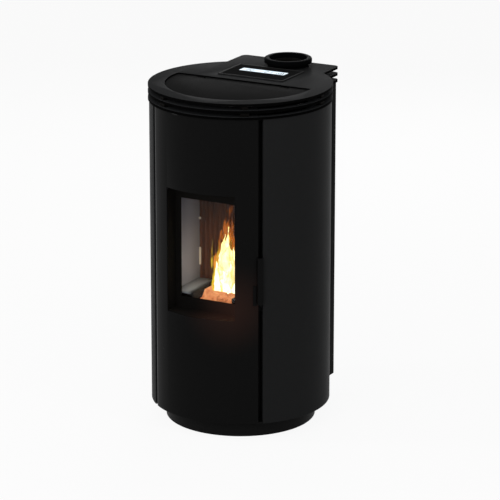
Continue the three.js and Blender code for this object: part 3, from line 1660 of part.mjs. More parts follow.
function buildMainsInlet() {
  const face = rearDepth + panelSheet;
  const [x0, x1, z0, z1] = socketSpan(0);
  const body = block(x0, x1, rearDepth - socketDepth - 6, face + 1, z0, z1);
  const flange = block(x0 - 4, x1 + 4, face, face + 2, z0 - 4, z1 + 4);
  const split = x1 - 3 - switchWidth;
  const well = block(x0 + 3, split - 3, face + 2 - socketDepth, face + 3, z0 + 3, z1 - 3);
  const pins = [-7, 0, 7].map((offset) => {
    const x = (x0 + split) / 2 + offset;
    return block(x - 1, x + 1, face + 1 - socketDepth, face - 3, serviceHeight - 2, serviceHeight + 2);
  });
  const recess = block(split, x1 - 3, face - 9, face + 3, z0 + 3, z1 - 3);
  add("mains_inlet", join(cut(join(body, flange), well, recess), ...pins), matteBlack());

  const rockerGroup = new THREE.Group();
  rockerGroup.position.set(split + switchWidth / 2, face, serviceHeight);
  rockerGroup.rotation.x = radians(-rockerTilt);
  stove.add(rockerGroup);
  const tall = socketHeight / 2 - 1.8;
  const side = polygon([
    [-5, -tall * 0.7],
    [1, -tall],
    [3.5, -tall * 0.5],
    [2.2, 0],
    [3.5, tall * 0.5],
    [1, tall],
    [-5, tall * 0.7],
  ]);
  const half = switchWidth / 2 - 2 * seat;
  const cap = prismX(side, -half, half);
  add("mains_rocker", cap, glossBlack(), rockerGroup);
}

function buildThermostat() {
  const face = rearDepth + panelSheet;
  const body = rod(thermostatRadius, rearDepth - thermostatDepth, rearDepth, 16);
  const neck = rod(thermostatNeck, rearDepth - 1, face + 6, 12);
  const nut = rod(thermostatNeck * 1.6, face, face + 3, 6);
  const bore = rod(buttonRadius + seat, face - 8, face + 7, 12);
  const solidBody = cut(join(body, neck, nut), bore);
  add("thermostat", alongY(solidBody).translate(thermostatX, 0, serviceHeight), matteBlack());
  const button = rod(buttonRadius, face - 4, face + 6 + buttonProud, 12);
  add("reset_button", alongY(button).translate(thermostatX, 0, serviceHeight), finish(0x9c1f1a, 0.4, 0));
}

// The control board stands on four posts on the left wall of the rear housing.
function buildControlBoard() {
  const wall = -rearHalfWidth + housingSheet;
  const x = -boardX;
  const rear = boardFront + boardLength;
  const top = boardBottom + boardHeight;
  const board = block(x, x + boardSheet, boardFront, rear, boardBottom, top);
  const posts = [boardFront + boardMargin, rear - boardMargin].flatMap((y) => {
    return [boardBottom + boardMargin, top - boardMargin].map((z) => {
      return alongX(rod(boardMargin / 3, wall, x + 1, 8)).translate(0, y, z);
    });
  });
  const seatX = x + boardSheet - 1;
  const place = (depth, y, width, z, height) => block(seatX, seatX + depth + 1, y, y + width, z, z + height);
  const front = boardFront + 1.5 * boardMargin;
  const low = boardBottom + 1.5 * boardMargin;
  const transformer = place(transformerDepth, front, transformerWidth, low, transformerHeight);
  const relays = [0, 1, 2].map((i) => {
    const z = low + transformerHeight + 2 * boardMargin + i * relayPitch;
    return place(relayDepth, front, relayWidth, z, relayHeight);
  });
  const plugs = [0, 1, 2, 3].map((i) => {
    const z = low + boardMargin + i * plugPitch;
    return place(plugDepth, rear - boardMargin - plugWidth, plugWidth, z, plugHeight);
  });
  add("control_board", join(board, ...posts, transformer, ...relays, ...plugs), finish(0x1f5a37, 0.6, 0));
}

// ---- Assembly ----

buildPlinth();
buildFeet();
buildBasePlate();
buildUprights();
buildSidePanels();
buildRearHousing();
buildRearPanel();
buildCapPlate();
buildVentPlates();
buildTopPlate();
buildLid();
buildLidHinges();
buildLidGasket();
buildHopper();
buildHopperGrid();
buildDisplay();
buildFlueCollar();
buildFlueRiser();
buildDoorPanel();
buildDoorFrame();
buildDoorGlass();
buildGlassRetainer();
buildDoorGasket();
buildLever();
buildStand();
buildFireboxShell();
buildFireboxFloor();
buildLiners();
buildBaffle();
buildBurnPot();
buildAshPan();
buildAugerTube();
buildAugerScrew();
buildGearmotor();
buildChute();
buildSmokeFan();
buildSmokeDuct();
buildRoomFan();
buildIntake();
buildIgniter();
buildMainsInlet();
buildThermostat();
buildControlBoard();

export default stove;
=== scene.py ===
import json
import math
import bmesh
import bpy
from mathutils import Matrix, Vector


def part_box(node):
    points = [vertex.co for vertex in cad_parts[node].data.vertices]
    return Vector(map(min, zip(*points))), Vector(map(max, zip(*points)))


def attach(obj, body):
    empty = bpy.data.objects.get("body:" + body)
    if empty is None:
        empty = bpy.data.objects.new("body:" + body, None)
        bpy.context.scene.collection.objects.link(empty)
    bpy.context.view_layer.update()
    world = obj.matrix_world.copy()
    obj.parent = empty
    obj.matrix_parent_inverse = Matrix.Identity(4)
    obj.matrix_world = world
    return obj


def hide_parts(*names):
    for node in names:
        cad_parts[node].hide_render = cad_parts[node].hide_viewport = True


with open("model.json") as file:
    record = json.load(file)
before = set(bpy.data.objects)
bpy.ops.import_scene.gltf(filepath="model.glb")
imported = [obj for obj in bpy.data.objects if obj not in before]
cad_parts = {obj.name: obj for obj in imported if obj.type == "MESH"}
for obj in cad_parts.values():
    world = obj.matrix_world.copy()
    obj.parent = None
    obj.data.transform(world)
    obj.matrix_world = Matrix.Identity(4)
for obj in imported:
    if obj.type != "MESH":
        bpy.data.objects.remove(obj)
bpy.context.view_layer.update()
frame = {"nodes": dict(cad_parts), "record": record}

scene = bpy.context.scene
bodies = frame["record"]["behaviour"]["bodies"]
bodyOf = {node: body for body, nodes in bodies.items() for node in nodes}
slotOf = {part["node"]: part["material_slot"] for part in frame["record"]["subparts"]}

# Sizes shared by several pieces, in metres and degrees. Angles count from the front towards +X.
stove = {
    "radius": 0.252,
    "plateRadius": 0.25498,
    "doorEdge": 39.5,
    "sideEdge": 42.456,
    "grooveMiddle": 40.978,
    "bodyBottom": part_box("door_panel")[0].z,
    "bodyTop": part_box("door_panel")[1].z,
    "topSurface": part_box("top_plate")[1].z,
    "housingHalf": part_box("rear_housing")[1].x,
    "flue": (0.020, 0.246),
}
weld = 0.00001  # corners this close are one
near = 0.0005  # how close a picked edge lies to its place
through = 0.01  # how far a cutter stands out past what it cuts


# Working by hand: selecting, cutting and turning.

def polar(radius, angle):
    turn = math.radians(angle)
    return Vector((radius * math.sin(turn), -radius * math.cos(turn), 0))


def tangent(angle):
    turn = math.radians(angle)
    return Vector((math.cos(turn), math.sin(turn), 0))


def applyTransform():
    bpy.ops.object.transform_apply(location=True, rotation=True, scale=True)


def startPiece(name):
    piece = bpy.context.object
    piece.name = name
    piece.data.name = name
    applyTransform()
    return piece


def clearSelection():
    bpy.ops.object.select_all(action="DESELECT")


def selectPieces(pieces):
    clearSelection()
    for piece in pieces:
        piece.select_set(True)
    bpy.context.view_layer.objects.active = pieces[0]


def editing(piece):
    selectPieces([piece])
    bpy.ops.object.mode_set(mode="EDIT")
    bpy.ops.mesh.select_all(action="SELECT")


def doneEditing():
    bpy.ops.object.mode_set(mode="OBJECT")


def pick(kind, test):
    # kind is "edges" or "faces"; test gets each one's middle, and a face's normal
    bpy.ops.mesh.select_mode(type=kind[:-1].upper())
    bpy.ops.mesh.select_all(action="DESELECT")
    mesh = bmesh.from_edit_mesh(bpy.context.object.data)
    mesh.normal_update()
    for item in getattr(mesh, kind):
        if kind == "edges":
            chosen = test((item.verts[0].co + item.verts[1].co) / 2, None)
        else:
            chosen = test(item.calc_center_median(), item.normal)
        item.select_set(chosen)
    mesh.select_flush_mode()
    bmesh.update_edit_mesh(bpy.context.object.data)


def slicePlane(point, normal, keep=None, fill=False):
    # keep "front" drops what lies behind the plane, "back" drops what lies before it
    bpy.ops.mesh.select_all(action="SELECT")
    bpy.ops.mesh.bisect(
        plane_co=point,
        plane_no=normal,
        use_fill=fill,
        clear_inner=keep == "front",
        clear_outer=keep == "back",
        threshold=weld,
    )


def keepAngles(start, end):
    slicePlane((0, 0, 0), tangent(start), keep="front")
    slicePlane((0, 0, 0), tangent(end), keep="back")


def foldEdge(angle, depth, low, high):
    # Draws the body's upright edge at this angle straight in, between two heights.
    edge = polar(stove["radius"], angle)
    pick("edges", lambda middle, _: (middle.xy - edge.xy).length < near and low < middle.z < high)
    bpy.ops.mesh.extrude_edges_move(TRANSFORM_OT_translate={"value": -polar(depth, angle)})


def tidyMesh():
    bpy.ops.mesh.select_all(action="SELECT")
    bpy.ops.mesh.remove_doubles(threshold=weld)
    bpy.ops.mesh.normals_make_consistent(inside=False)


def applyModifier(piece, kind, **settings):
    selectPieces([piece])
    modifier = piece.modifiers.new(kind.lower(), kind)
    for key, value in settings.items():
        setattr(modifier, key, value)
    bpy.ops.object.modifier_apply(modifier=modifier.name)


def softenEdges(piece, width, segments=2, angle=35):
    applyModifier(
        piece,
        "BEVEL",
        width=width,
        segments=segments,
        limit_method="ANGLE",
        angle_limit=math.radians(angle),
        use_clamp_overlap=True,
        harden_normals=False,
    )


def boolean(piece, tool, operation):
    applyModifier(piece, "BOOLEAN", object=tool, operation=operation, solver="EXACT")
    bpy.data.objects.remove(tool)


def cut(piece, tool):
    boolean(piece, tool, "DIFFERENCE")


def finishPiece(piece, body, material, smooth=32, replaced=()):
    selectPieces([piece])
    applyTransform()
    if smooth:
        bpy.ops.object.shade_smooth_by_angle(angle=math.radians(smooth))
    piece.data.materials.clear()
    piece.data.materials.append(material)
    if replaced:
        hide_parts(*replaced)
    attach(piece, body)


def joinPieces(name, pieces):
    selectPieces(pieces)
    bpy.ops.object.join()
    pieces[0].name = name
    pieces[0].data.name = name
    return pieces[0]


def addBlock(name, low, high):
    middle = [(a + b) / 2 for a, b in zip(low, high)]
    clearSelection()
    bpy.ops.mesh.primitive_cube_add(size=1, location=middle, scale=[b - a for a, b in zip(low, high)])
    return startPiece(name)


def addCylinder(name, radius, middle, depth, sides=144, ends="NGON", rotation=(0, 0, 0)):
    clearSelection()
    bpy.ops.mesh.primitive_cylinder_add(
        vertices=sides, radius=radius, depth=depth, location=middle, rotation=rotation, end_fill_type=ends
    )
    return startPiece(name)


def addCrossBar(name, radius, middle, length):
    # A round bar that lies along X.
    return addCylinder(name, radius, middle, length, 32, rotation=(0, math.pi / 2, 0))


def turnProfile(name, centre, profile, sides):
    # A ring drawn out step by step along a profile of (radius, height) pairs.
    clearSelection()
    first, height = profile[0]
    bpy.ops.mesh.primitive_circle_add(vertices=sides, radius=first, location=(centre[0], centre[1], height))
    piece = startPiece(name)
    editing(piece)
    for (oldRadius, oldZ), (radius, z) in zip(profile, profile[1:]):
        bpy.ops.mesh.extrude_edges_move(TRANSFORM_OT_translate={"value": (0, 0, z - oldZ)})
        ratio = radius / oldRadius
        bpy.ops.transform.resize(value=(ratio, ratio, 1), center_override=(centre[0], centre[1], z))
    tidyMesh()
    doneEditing()
    return piece


def addSector(name, inner, outer, start, end, low, high):
    # A curved bar: an arc drawn outwards into a band, then raised.
    clearSelection()
    bpy.ops.mesh.primitive_circle_add(vertices=180, radius=inner, location=(0, 0, low))
    piece = startPiece(name)
    editing(piece)
    keepAngles(start, end)
    bpy.ops.mesh.select_all(action="SELECT")
    bpy.ops.mesh.extrude_edges_move(TRANSFORM_OT_translate={"value": (0, 0, 0)})
    ratio = outer / inner
    bpy.ops.transform.resize(value=(ratio, ratio, 1), center_override=(0, 0, low))
    bpy.ops.mesh.select_all(action="SELECT")
    bpy.ops.mesh.extrude_region_move(TRANSFORM_OT_translate={"value": (0, 0, high - low)})
    tidyMesh()
    doneEditing()
    return piece


def addHalfRound(name, radius, chord, low, high):
    piece = addCylinder(name, radius, (0, 0, (low + high) / 2), high - low)
    editing(piece)
    slicePlane((0, chord, 0), (0, 1, 0), keep="back", fill=True)
    tidyMesh()
    doneEditing()
    return piece


def refineNode(node, width, material):
    # A copy of a CAD node with welded faces and softened edges, which then stands for it.
    source = frame["nodes"][node]
    piece = bpy.data.objects.new(node + "Refined", source.data.copy())
    scene.collection.objects.link(piece)
    editing(piece)
    bpy.ops.mesh.remove_doubles(threshold=weld)
    bpy.ops.mesh.dissolve_limited(angle_limit=math.radians(0.5))
    doneEditing()
    softenEdges(piece, width)
    finishPiece(piece, bodyOf[node], material, replaced=(node,))


# Working on materials. A value is a plain setting or another node's output.

def setInputs(tree, node, values):
    for label, value in values.items():
        if isinstance(value, bpy.types.NodeSocket):
            tree.links.new(value, node.inputs[label])
        else:
            node.inputs[label].default_value = value


def addNode(tree, kind, values, **options):
    node = tree.nodes.new(kind)
    for key, value in options.items():
        setattr(node, key, value)
    setInputs(tree, node, values)
    return node


def objectPlace(tree):
    return addNode(tree, "ShaderNodeTexCoord", {}).outputs["Object"]


def stretched(tree, place, scale):
    return addNode(tree, "ShaderNodeMapping", {"Vector": place, "Scale": scale}).outputs["Vector"]


def axisOf(tree, vector, axis):
    return addNode(tree, "ShaderNodeSeparateXYZ", {0: vector}).outputs[axis]


def noise(tree, place, scale, detail, roughness=0.5, distortion=0.0):
    values = {"Vector": place, "Scale": scale, "Detail": detail, "Roughness": roughness}
    values["Distortion"] = distortion
    return addNode(tree, "ShaderNodeTexNoise", values).outputs["Fac"]


def calculate(tree, operation, *values):
    return addNode(tree, "ShaderNodeMath", dict(enumerate(values)), operation=operation).outputs[0]


def mapRange(tree, value, fromLow=0.0, fromHigh=1.0, toLow=0.0, toHigh=1.0, fade="LINEAR"):
    values = {"Value": value, "From Min": fromLow, "From Max": fromHigh, "To Min": toLow, "To Max": toHigh}
    return addNode(tree, "ShaderNodeMapRange", values, interpolation_type=fade).outputs["Result"]


def mixColour(tree, share, first, second):
    return addNode(tree, "ShaderNodeMix", {"Factor": share, 6: first, 7: second}, data_type="RGBA").outputs[2]


def greyFrom(tree, level):
    return addNode(tree, "ShaderNodeCombineColor", dict.fromkeys(range(3), level)).outputs["Color"]


def bumpFrom(tree, height, distance, strength):
    values = {"Height": height, "Distance": distance, "Strength": strength}
    return addNode(tree, "ShaderNodeBump", values).outputs["Normal"]


def placeGroup(tree, group, values):
    return addNode(tree, "ShaderNodeGroup", values, node_tree=group)


def newGroup(name, inputs, outputs):
    group = bpy.data.node_groups.new(name, "ShaderNodeTree")
    for label, kind, value in inputs:
        socket = group.interface.new_socket(label, in_out="INPUT", socket_type=kind)
        socket.default_value = value
    for label, kind in outputs:
        group.interface.new_socket(label, in_out="OUTPUT", socket_type=kind)
    given = group.nodes.new("NodeGroupInput").outputs
    return group, given, group.nodes.new("NodeGroupOutput")


def newMaterial(name):
    material = bpy.data.materials.new(name)
    material.use_nodes = True
    tree = material.node_tree
    return material, tree, tree.nodes["Principled BSDF"]


def grey(level, warm=1.0, cool=1.0):
    return (level * warm, level, level * cool, 1)


coatLook = {
    # noises: scale per metre, detail, roughness
    "grain": (2.0, 0.55), "drift": (9.0, 4.0, 0.6), "specks": (260.0, 5.0, 0.7),
    "grainDepth": 0.0003, "dustFrom": 0.52, "dustTo": 0.78,
}


def makeCoatGroup():
    # Powder or enamel: fine orange peel, a slow drift in gloss, and a little dust in the colour.
    group, given, end = newGroup(
        "coatGrain",
        [
            ("Colour", "NodeSocketColor", (0.02, 0.02, 0.02, 1)),
            ("Dust Colour", "NodeSocketColor", (0.09, 0.088, 0.085, 1)),
            ("Dust", "NodeSocketFloat", 0.1),
            ("Grain Scale", "NodeSocketFloat", 900.0),
            ("Grain Height", "NodeSocketFloat", 0.1),
            ("Roughness", "NodeSocketFloat", 0.4),
            ("Drift", "NodeSocketFloat", 0.08),
        ],
        [("Colour", "NodeSocketColor"), ("Roughness", "NodeSocketFloat"), ("Normal", "NodeSocketVector")],
    )
    place = objectPlace(group)
    grain = noise(group, place, given["Grain Scale"], *coatLook["grain"])
    drift = calculate(group, "SUBTRACT", noise(group, place, *coatLook["drift"]), 0.5)
    specks = noise(group, place, *coatLook["specks"])
    settled = mapRange(group, specks, coatLook["dustFrom"], coatLook["dustTo"])
    dust = calculate(group, "MULTIPLY", settled, given["Dust"])
    change = calculate(group, "MULTIPLY", drift, given["Drift"])
    setInputs(group, end, {
        "Colour": mixColour(group, dust, given["Colour"], given["Dust Colour"]),
        "Roughness": calculate(group, "ADD", given["Roughness"], change),
        "Normal": bumpFrom(group, grain, coatLook["grainDepth"], given["Grain Height"]),
    })
    return group


sootLook = {
    "cloud": (42.0, 6.0, 0.65), "tall": (1, 1, 0.25), "climb": 0.55, "patchFrom": 0.35, "patchTo": 0.95,
    "pits": (6.0, 0.7), "pitDepth": 0.0008,
}


def makeSootGroup():
    # Patches of soot that thicken upwards between two heights.
    group, given, end = newGroup(
        "sootStain",
        [
            ("Clean", "NodeSocketColor", (0.2, 0.18, 0.16, 1)),
            ("Soot", "NodeSocketColor", (0.02, 0.015, 0.012, 1)),
            ("Low", "NodeSocketFloat", 0.38),
            ("High", "NodeSocketFloat", 0.68),
            ("Amount", "NodeSocketFloat", 0.7),
        ],
        [("Colour", "NodeSocketColor")],
    )
    place = objectPlace(group)
    climb = mapRange(group, axisOf(group, place, "Z"), given["Low"], given["High"])
    cloud = noise(group, stretched(group, place, sootLook["tall"]), *sootLook["cloud"])
    both = calculate(group, "MULTIPLY_ADD", climb, sootLook["climb"], cloud)
    patches = mapRange(group, both, sootLook["patchFrom"], sootLook["patchTo"])
    amount = calculate(group, "MULTIPLY", patches, given["Amount"])
    setInputs(group, end, {"Colour": mixColour(group, amount, given["Clean"], given["Soot"])})
    return group


rimShadeColours = {
    # finish: the painted shade colour of its upright edges
    "platePowder": grey(0.002), "ventPowder": grey(0.0015), "collarPowder": grey(0.0025, 0.95, 1.1),
}
rimShadeLook = {"upFrom": 0.25, "upTo": 0.75}


def makeRimShadeGroup():
    # Painted light and shade by the normal: upward faces keep the face colour as if lit, and upright edges
    # are painted deep black as shade.
    group, given, end = newGroup(
        "paintedRimShade",
        [
            ("Face Colour", "NodeSocketColor", (0.02, 0.02, 0.02, 1)),
            ("Painted Rim Shade", "NodeSocketColor", (0.002, 0.002, 0.002, 1)),
        ],
        [("Colour", "NodeSocketColor")],
    )
    normal = addNode(group, "ShaderNodeNewGeometry", {}).outputs["Normal"]
    upward = mapRange(group, axisOf(group, normal, "Z"), rimShadeLook["upFrom"], rimShadeLook["upTo"])
    setInputs(group, end, {"Colour": mixColour(group, upward, given["Painted Rim Shade"], given["Face Colour"])})
    return group


paintedFireGlow = {
    # finish: strength of the painted glow at the spot; the fire's light is painted on the door as emission,
    # spreading from the lower right of the window
    "doorEnamel": 0.014, "framePaint": 0.022,
}
paintedFirelight = {"spot": (0.085, -0.225, 0.385), "near": 0.0, "far": 0.15, "colour": (1.0, 0.36, 0.22, 1)}


def makePaintedFirelightGroup():
    # Painted firelight: emission on the door that fades with the distance from its brightest spot.
    group, given, end = newGroup(
        "paintedFirelight", [("Strength", "NodeSocketFloat", 0.02)], [("Strength", "NodeSocketFloat")]
    )
    values = {0: objectPlace(group), 1: paintedFirelight["spot"]}
    reach = addNode(group, "ShaderNodeVectorMath", values, operation="DISTANCE").outputs["Value"]
    fade = mapRange(group, reach, paintedFirelight["near"], paintedFirelight["far"], 1.0, 0.0, "SMOOTHSTEP")
    setInputs(group, end, {"Strength": calculate(group, "MULTIPLY", fade, given["Strength"])})
    return group


coatGroup = makeCoatGroup()
rimShadeGroup = makeRimShadeGroup()
sootGroup = makeSootGroup()
paintedFirelightGroup = makePaintedFirelightGroup()

coats = {
    # finish: colour, dust, grain per metre, grain height, roughness, drift in roughness, specular level
    "doorEnamel": (grey(0.0055), 0.02, 140, 0.012, 0.13, 0.03, 0.02),
    "sidePowder": (grey(0.0150, 0.98, 1.02), 0.05, 1500, 0.25, 0.42, 0.1, 0.010),
    "housingPowder": (grey(0.006), 0.06, 1500, 0.25, 0.45, 0.1, 0.005),
    "platePowder": (grey(0.018, 0.98, 1.03), 0.04, 1300, 0.22, 0.34, 0.1, 0.0006),
    # the vent plates' upward faces are painted lighter, so they read as lit in the shaded gaps between the
    # plates
    "ventPowder": (grey(0.03, 0.97, 1.05), 0.04, 1300, 0.22, 0.4, 0.1, 0.0006),
    "lidPowder": (grey(0.0065), 0.04, 1300, 0.22, 0.4, 0.12, 0.0006),
    "collarPowder": (grey(0.004, 0.95, 1.1), 0.03, 1300, 0.22, 0.36, 0.1, 0.001),
    "plinthPowder": (grey(0.009), 0.08, 1300, 0.25, 0.45, 0.12, 0.02),
    "heatPaint": (grey(0.005, 1.1, 0.9), 0.05, 1100, 0.3, 0.6, 0.12, 0.02),
    "framePaint": (grey(0.0055, 1.1, 0.9), 0.05, 1100, 0.3, 0.55, 0.12, 0.02),
    "clipZinc": ((0.62, 0.58, 0.52, 1), 0.05, 900, 0.1, 0.45, 0.1, 0.3),
    "leverMetal": (grey(0.004), 0.03, 1200, 0.1, 0.3, 0.08, 0.03),
    "bezelPaint": (grey(0.024), 0.04, 1300, 0.15, 0.3, 0.08, 0.002),
    "panelGloss": (grey(0.012), 0.03, 160, 0.01, 0.12, 0.03, 0.0),
    "blackPlastic": (grey(0.015), 0.06, 900, 0.2, 0.5, 0.1, 0.2),
    "redPlastic": ((0.3, 0.015, 0.01, 1), 0.05, 900, 0.1, 0.35, 0.1, 0.4),
    "boardGreen": ((0.015, 0.09, 0.035, 1), 0.1, 700, 0.2, 0.45, 0.1, 0.4),
    "motorPaint": (grey(0.02), 0.15, 900, 0.3, 0.5, 0.1, 0.35),
}


def coatMaterial(name, look):
    material, tree, shader = newMaterial(name)
    *values, specular = look
    coat = dict(zip(("Colour", "Dust", "Grain Scale", "Grain Height", "Roughness", "Drift"), values))
    # these finishes get painted shade on their upright edges
    if name in rimShadeColours:
        rim = placeGroup(tree, rimShadeGroup, {"Face Colour": coat["Colour"], "Painted Rim Shade": rimShadeColours[name]})
        coat["Colour"] = rim.outputs["Colour"]
    made = placeGroup(tree, coatGroup, coat).outputs
    setInputs(tree, shader, {
        "Base Color": made["Colour"], "Roughness": made["Roughness"], "Normal": made["Normal"],
        "Specular IOR Level": specular,
    })
    # door and frame get the fire's light painted on as emission
    if name in paintedFireGlow:
        paintedGlow = placeGroup(tree, paintedFirelightGroup, {"Strength": paintedFireGlow[name]}).outputs["Strength"]
        setInputs(tree, shader, {"Emission Strength": paintedGlow, "Emission Color": paintedFirelight["colour"]})
    return material


black = (0.012, 0.01, 0.009, 1)
soots = {
    # finish: clean colour, soot colour, from height, to height, amount,
    # then pits per metre, their depth, roughness, specular level
    "castIron": ((0.11, 0.11, 0.12, 1), black, 0.3, 0.5, 0.5, 420, 0.5, 0.62, 0.2),
    "sideLiner": ((0.21, 0.225, 0.30, 1), (0.12, 0.125, 0.16, 1), 0.42, 0.8, 0.4, 160, 0.35, 0.8, 0.1),
    "rearLiner": ((0.11, 0.038, 0.018, 1), (0.022, 0.011, 0.007, 1), 0.38, 0.72, 0.8, 160, 0.4, 0.8, 0.1),
}


def sootMaterial(name, look):
    material, tree, shader = newMaterial(name)
    *values, pitScale, pitStrength, roughness, specular = look
    paintedShadow = placeGroup(tree, sootGroup, dict(zip(("Clean", "Soot", "Low", "High", "Amount"), values)))
    pits = noise(tree, objectPlace(tree), pitScale, *sootLook["pits"])
    setInputs(tree, shader, {
        "Base Color": paintedShadow.outputs["Colour"], "Roughness": roughness, "Specular IOR Level": specular,
        "Normal": bumpFrom(tree, pits, sootLook["pitDepth"], pitStrength),
    })
    return material


floorIron = {
    # the near-black colour is painted shadow beside the pot
    "paintedShadow": (0.012, 0.011, 0.011, 1), "bare": (0.24, 0.26, 0.30, 1), "cloud": (70.0, 5.0, 0.6),
    "ragged": 0.012, "bareFrom": 0.072, "bareTo": 0.086, "pits": (0.0006, 0.4), "roughness": 0.6,
    "specular": 0.1,
}


def makeFloorIron():
    # The floor casting: bare at its sides, and painted near-black beside the pot as shadow.
    material, tree, shader = newMaterial("floorIron")
    place = objectPlace(tree)
    across = calculate(tree, "ABSOLUTE", axisOf(tree, place, "X"))
    cloud = noise(tree, place, *floorIron["cloud"])
    ragged = calculate(tree, "MULTIPLY_ADD", cloud, floorIron["ragged"], across)
    bare = mapRange(tree, ragged, floorIron["bareFrom"], floorIron["bareTo"])
    setInputs(tree, shader, {
        "Base Color": mixColour(tree, bare, floorIron["paintedShadow"], floorIron["bare"]),
        "Normal": bumpFrom(tree, cloud, *floorIron["pits"]),
        "Roughness": floorIron["roughness"], "Specular IOR Level": floorIron["specular"],
    })
    return material


galvanised = {"cells": 95.0, "tone": (0.30, 0.50), "roughness": (0.34, 0.52), "metallic": 0.85}


def makeGalvanised():
    # Zinc spangle: cells of slightly different grey and gloss.
    material, tree, shader = newMaterial("galvanised")
    values = {"Vector": objectPlace(tree), "Scale": galvanised["cells"], "Randomness": 1.0}
    cells = addNode(tree, "ShaderNodeTexVoronoi", values).outputs["Color"]
    setInputs(tree, shader, {
        "Base Color": greyFrom(tree, mapRange(tree, cells, 0.0, 1.0, *galvanised["tone"])),
        "Roughness": mapRange(tree, cells, 0.0, 1.0, *galvanised["roughness"]),
        "Metallic": galvanised["metallic"],
    })
    return material


bareSteel = {
    "colour": (0.42, 0.42, 0.43, 1), "lines": (900.0, 3.0), "along": (1, 0.06, 1), "roughness": (0.25, 0.48),
    "scratches": (0.0001, 0.25),
}


def makeBareSteel():
    # Drawn steel with fine lines along its length.
    material, tree, shader = newMaterial("bareSteel")
    lines = noise(tree, stretched(tree, objectPlace(tree), bareSteel["along"]), *bareSteel["lines"])
    setInputs(tree, shader, {
        "Base Color": bareSteel["colour"], "Metallic": 1.0,
        "Roughness": mapRange(tree, lines, 0.0, 1.0, *bareSteel["roughness"]),
        "Normal": bumpFrom(tree, lines, *bareSteel["scratches"]),
    })
    return material


rope = {
    "tilts": (0.8, -0.8), "strands": 150.0, "wobble": 0.6, "tone": (0.02, 0.075), "weave": (0.0006, 0.6),
    "roughness": 0.95,
}


def makeRope():
    # Woven glass rope: two crossing sets of strands.
    material, tree, shader = newMaterial("glassRope")
    place = objectPlace(tree)
    waves = []
    for tilt in rope["tilts"]:
        turned = addNode(tree, "ShaderNodeMapping", {"Vector": place, "Rotation": (tilt, tilt, tilt)})
        values = {"Vector": turned.outputs["Vector"], "Scale": rope["strands"], "Distortion": rope["wobble"]}
        waves.append(addNode(tree, "ShaderNodeTexWave", {**values, "Detail": 1.0}).outputs["Fac"])
    weave = calculate(tree, "MAXIMUM", *waves)
    setInputs(tree, shader, {
        "Base Color": greyFrom(tree, mapRange(tree, weave, 0.0, 1.0, *rope["tone"])),
        "Normal": bumpFrom(tree, weave, *rope["weave"]),
        "Roughness": rope["roughness"],
    })
    return material


glass = {
    "colour": (0.95, 0.94, 0.92, 1), "haze": (14.0, 5.0), "roughness": (0.0, 0.06), "specular": 0.2,
    "bend": 1.15,
}


def makeGlass():
    material, tree, shader = newMaterial("clearGlass")
    haze = noise(tree, objectPlace(tree), *glass["haze"])
    setInputs(tree, shader, {
        "Base Color": glass["colour"], "Roughness": mapRange(tree, haze, 0.0, 1.0, *glass["roughness"]),
        "Transmission Weight": 1.0, "Specular IOR Level": glass["specular"], "IOR": glass["bend"],
    })
    return material


glows = {
    # low to high and climb: how the glow cools with height; patch: patches per metre
    "flameCore": {
        "low": 0.40, "high": 0.62, "stretch": 0.3, "patch": 60, "climb": 0.45, "hotAt": 0.35, "coolAt": 0.95,
        "hot": (1.0, 1.0, 0.8, 1), "warm": (1.0, 0.98, 0.5, 1), "cool": (1.0, 0.6, 0.08, 1),
        "strength": 1.9, "base": (0.0, 0.0, 0.0, 1), "alpha": 1,
    },
    "flameBody": {
        "low": 0.38, "high": 0.62, "stretch": 0.3, "patch": 75, "climb": 0.5, "hotAt": 0.42, "coolAt": 1.05,
        "hot": (0.95, 0.78, 0.04, 1), "warm": (1.0, 0.58, 0.05, 1), "cool": (1.0, 0.24, 0.03, 1),
        "strength": 1.0, "base": (0.0, 0.0, 0.0, 1), "alpha": 0.85,
    },
    "flameEdge": {
        "low": 0.38, "high": 0.64, "stretch": 0.3, "patch": 62, "climb": 0.26, "hotAt": 0.3, "coolAt": 0.8,
        "hot": (1.0, 0.42, 0.06, 1), "warm": (0.9, 0.24, 0.03, 1), "cool": (0.6, 0.10, 0.012, 1),
        "strength": 1.0, "base": (0.0, 0.0, 0.0, 1), "alpha": 0.75,
    },
    # the burn pot's glow is painted firelight: emission stands in for the flames' orange light on the pot,
    # brightest near its top
    "paintedPotFirelight": {
        "low": 0.352, "high": 0.392, "stretch": 1.0, "patch": 60, "climb": -0.35,
        "hotAt": 0.1, "coolAt": 0.62,
        "hot": (0.95, 0.42, 0.17, 1), "warm": (0.72, 0.22, 0.075, 1), "cool": (0.03, 0.008, 0.004, 1),
        "strength": 0.85, "base": (0.10, 0.05, 0.03, 1), "alpha": 1,
    },
    "embers": {
        "low": 0.33, "high": 0.40, "stretch": 1.0, "patch": 130, "climb": 0.1, "hotAt": 0.35, "coolAt": 0.7,
        "hot": (1.0, 0.5, 0.12, 1), "warm": (1.0, 0.2, 0.02, 1), "cool": (0.12, 0.012, 0.003, 1),
        "strength": 2.6, "base": (0.02, 0.012, 0.01, 1), "alpha": 1,
    },
    "screenLight": {
        "low": 0.5, "high": 1.5, "stretch": 1.0, "patch": 30, "climb": 0.1, "hotAt": 0.2, "coolAt": 0.9,
        "hot": (0.82, 0.93, 1.0, 1), "warm": (0.78, 0.9, 0.98, 1), "cool": (0.7, 0.84, 0.95, 1),
        "strength": 1.0, "base": (0.3, 0.32, 0.34, 1), "alpha": 1,
    },
}
glowLook = {"patches": (3.0, 0.6, 0.8), "thinFrom": 0.35, "thinTo": 0.75, "roughness": 0.9}


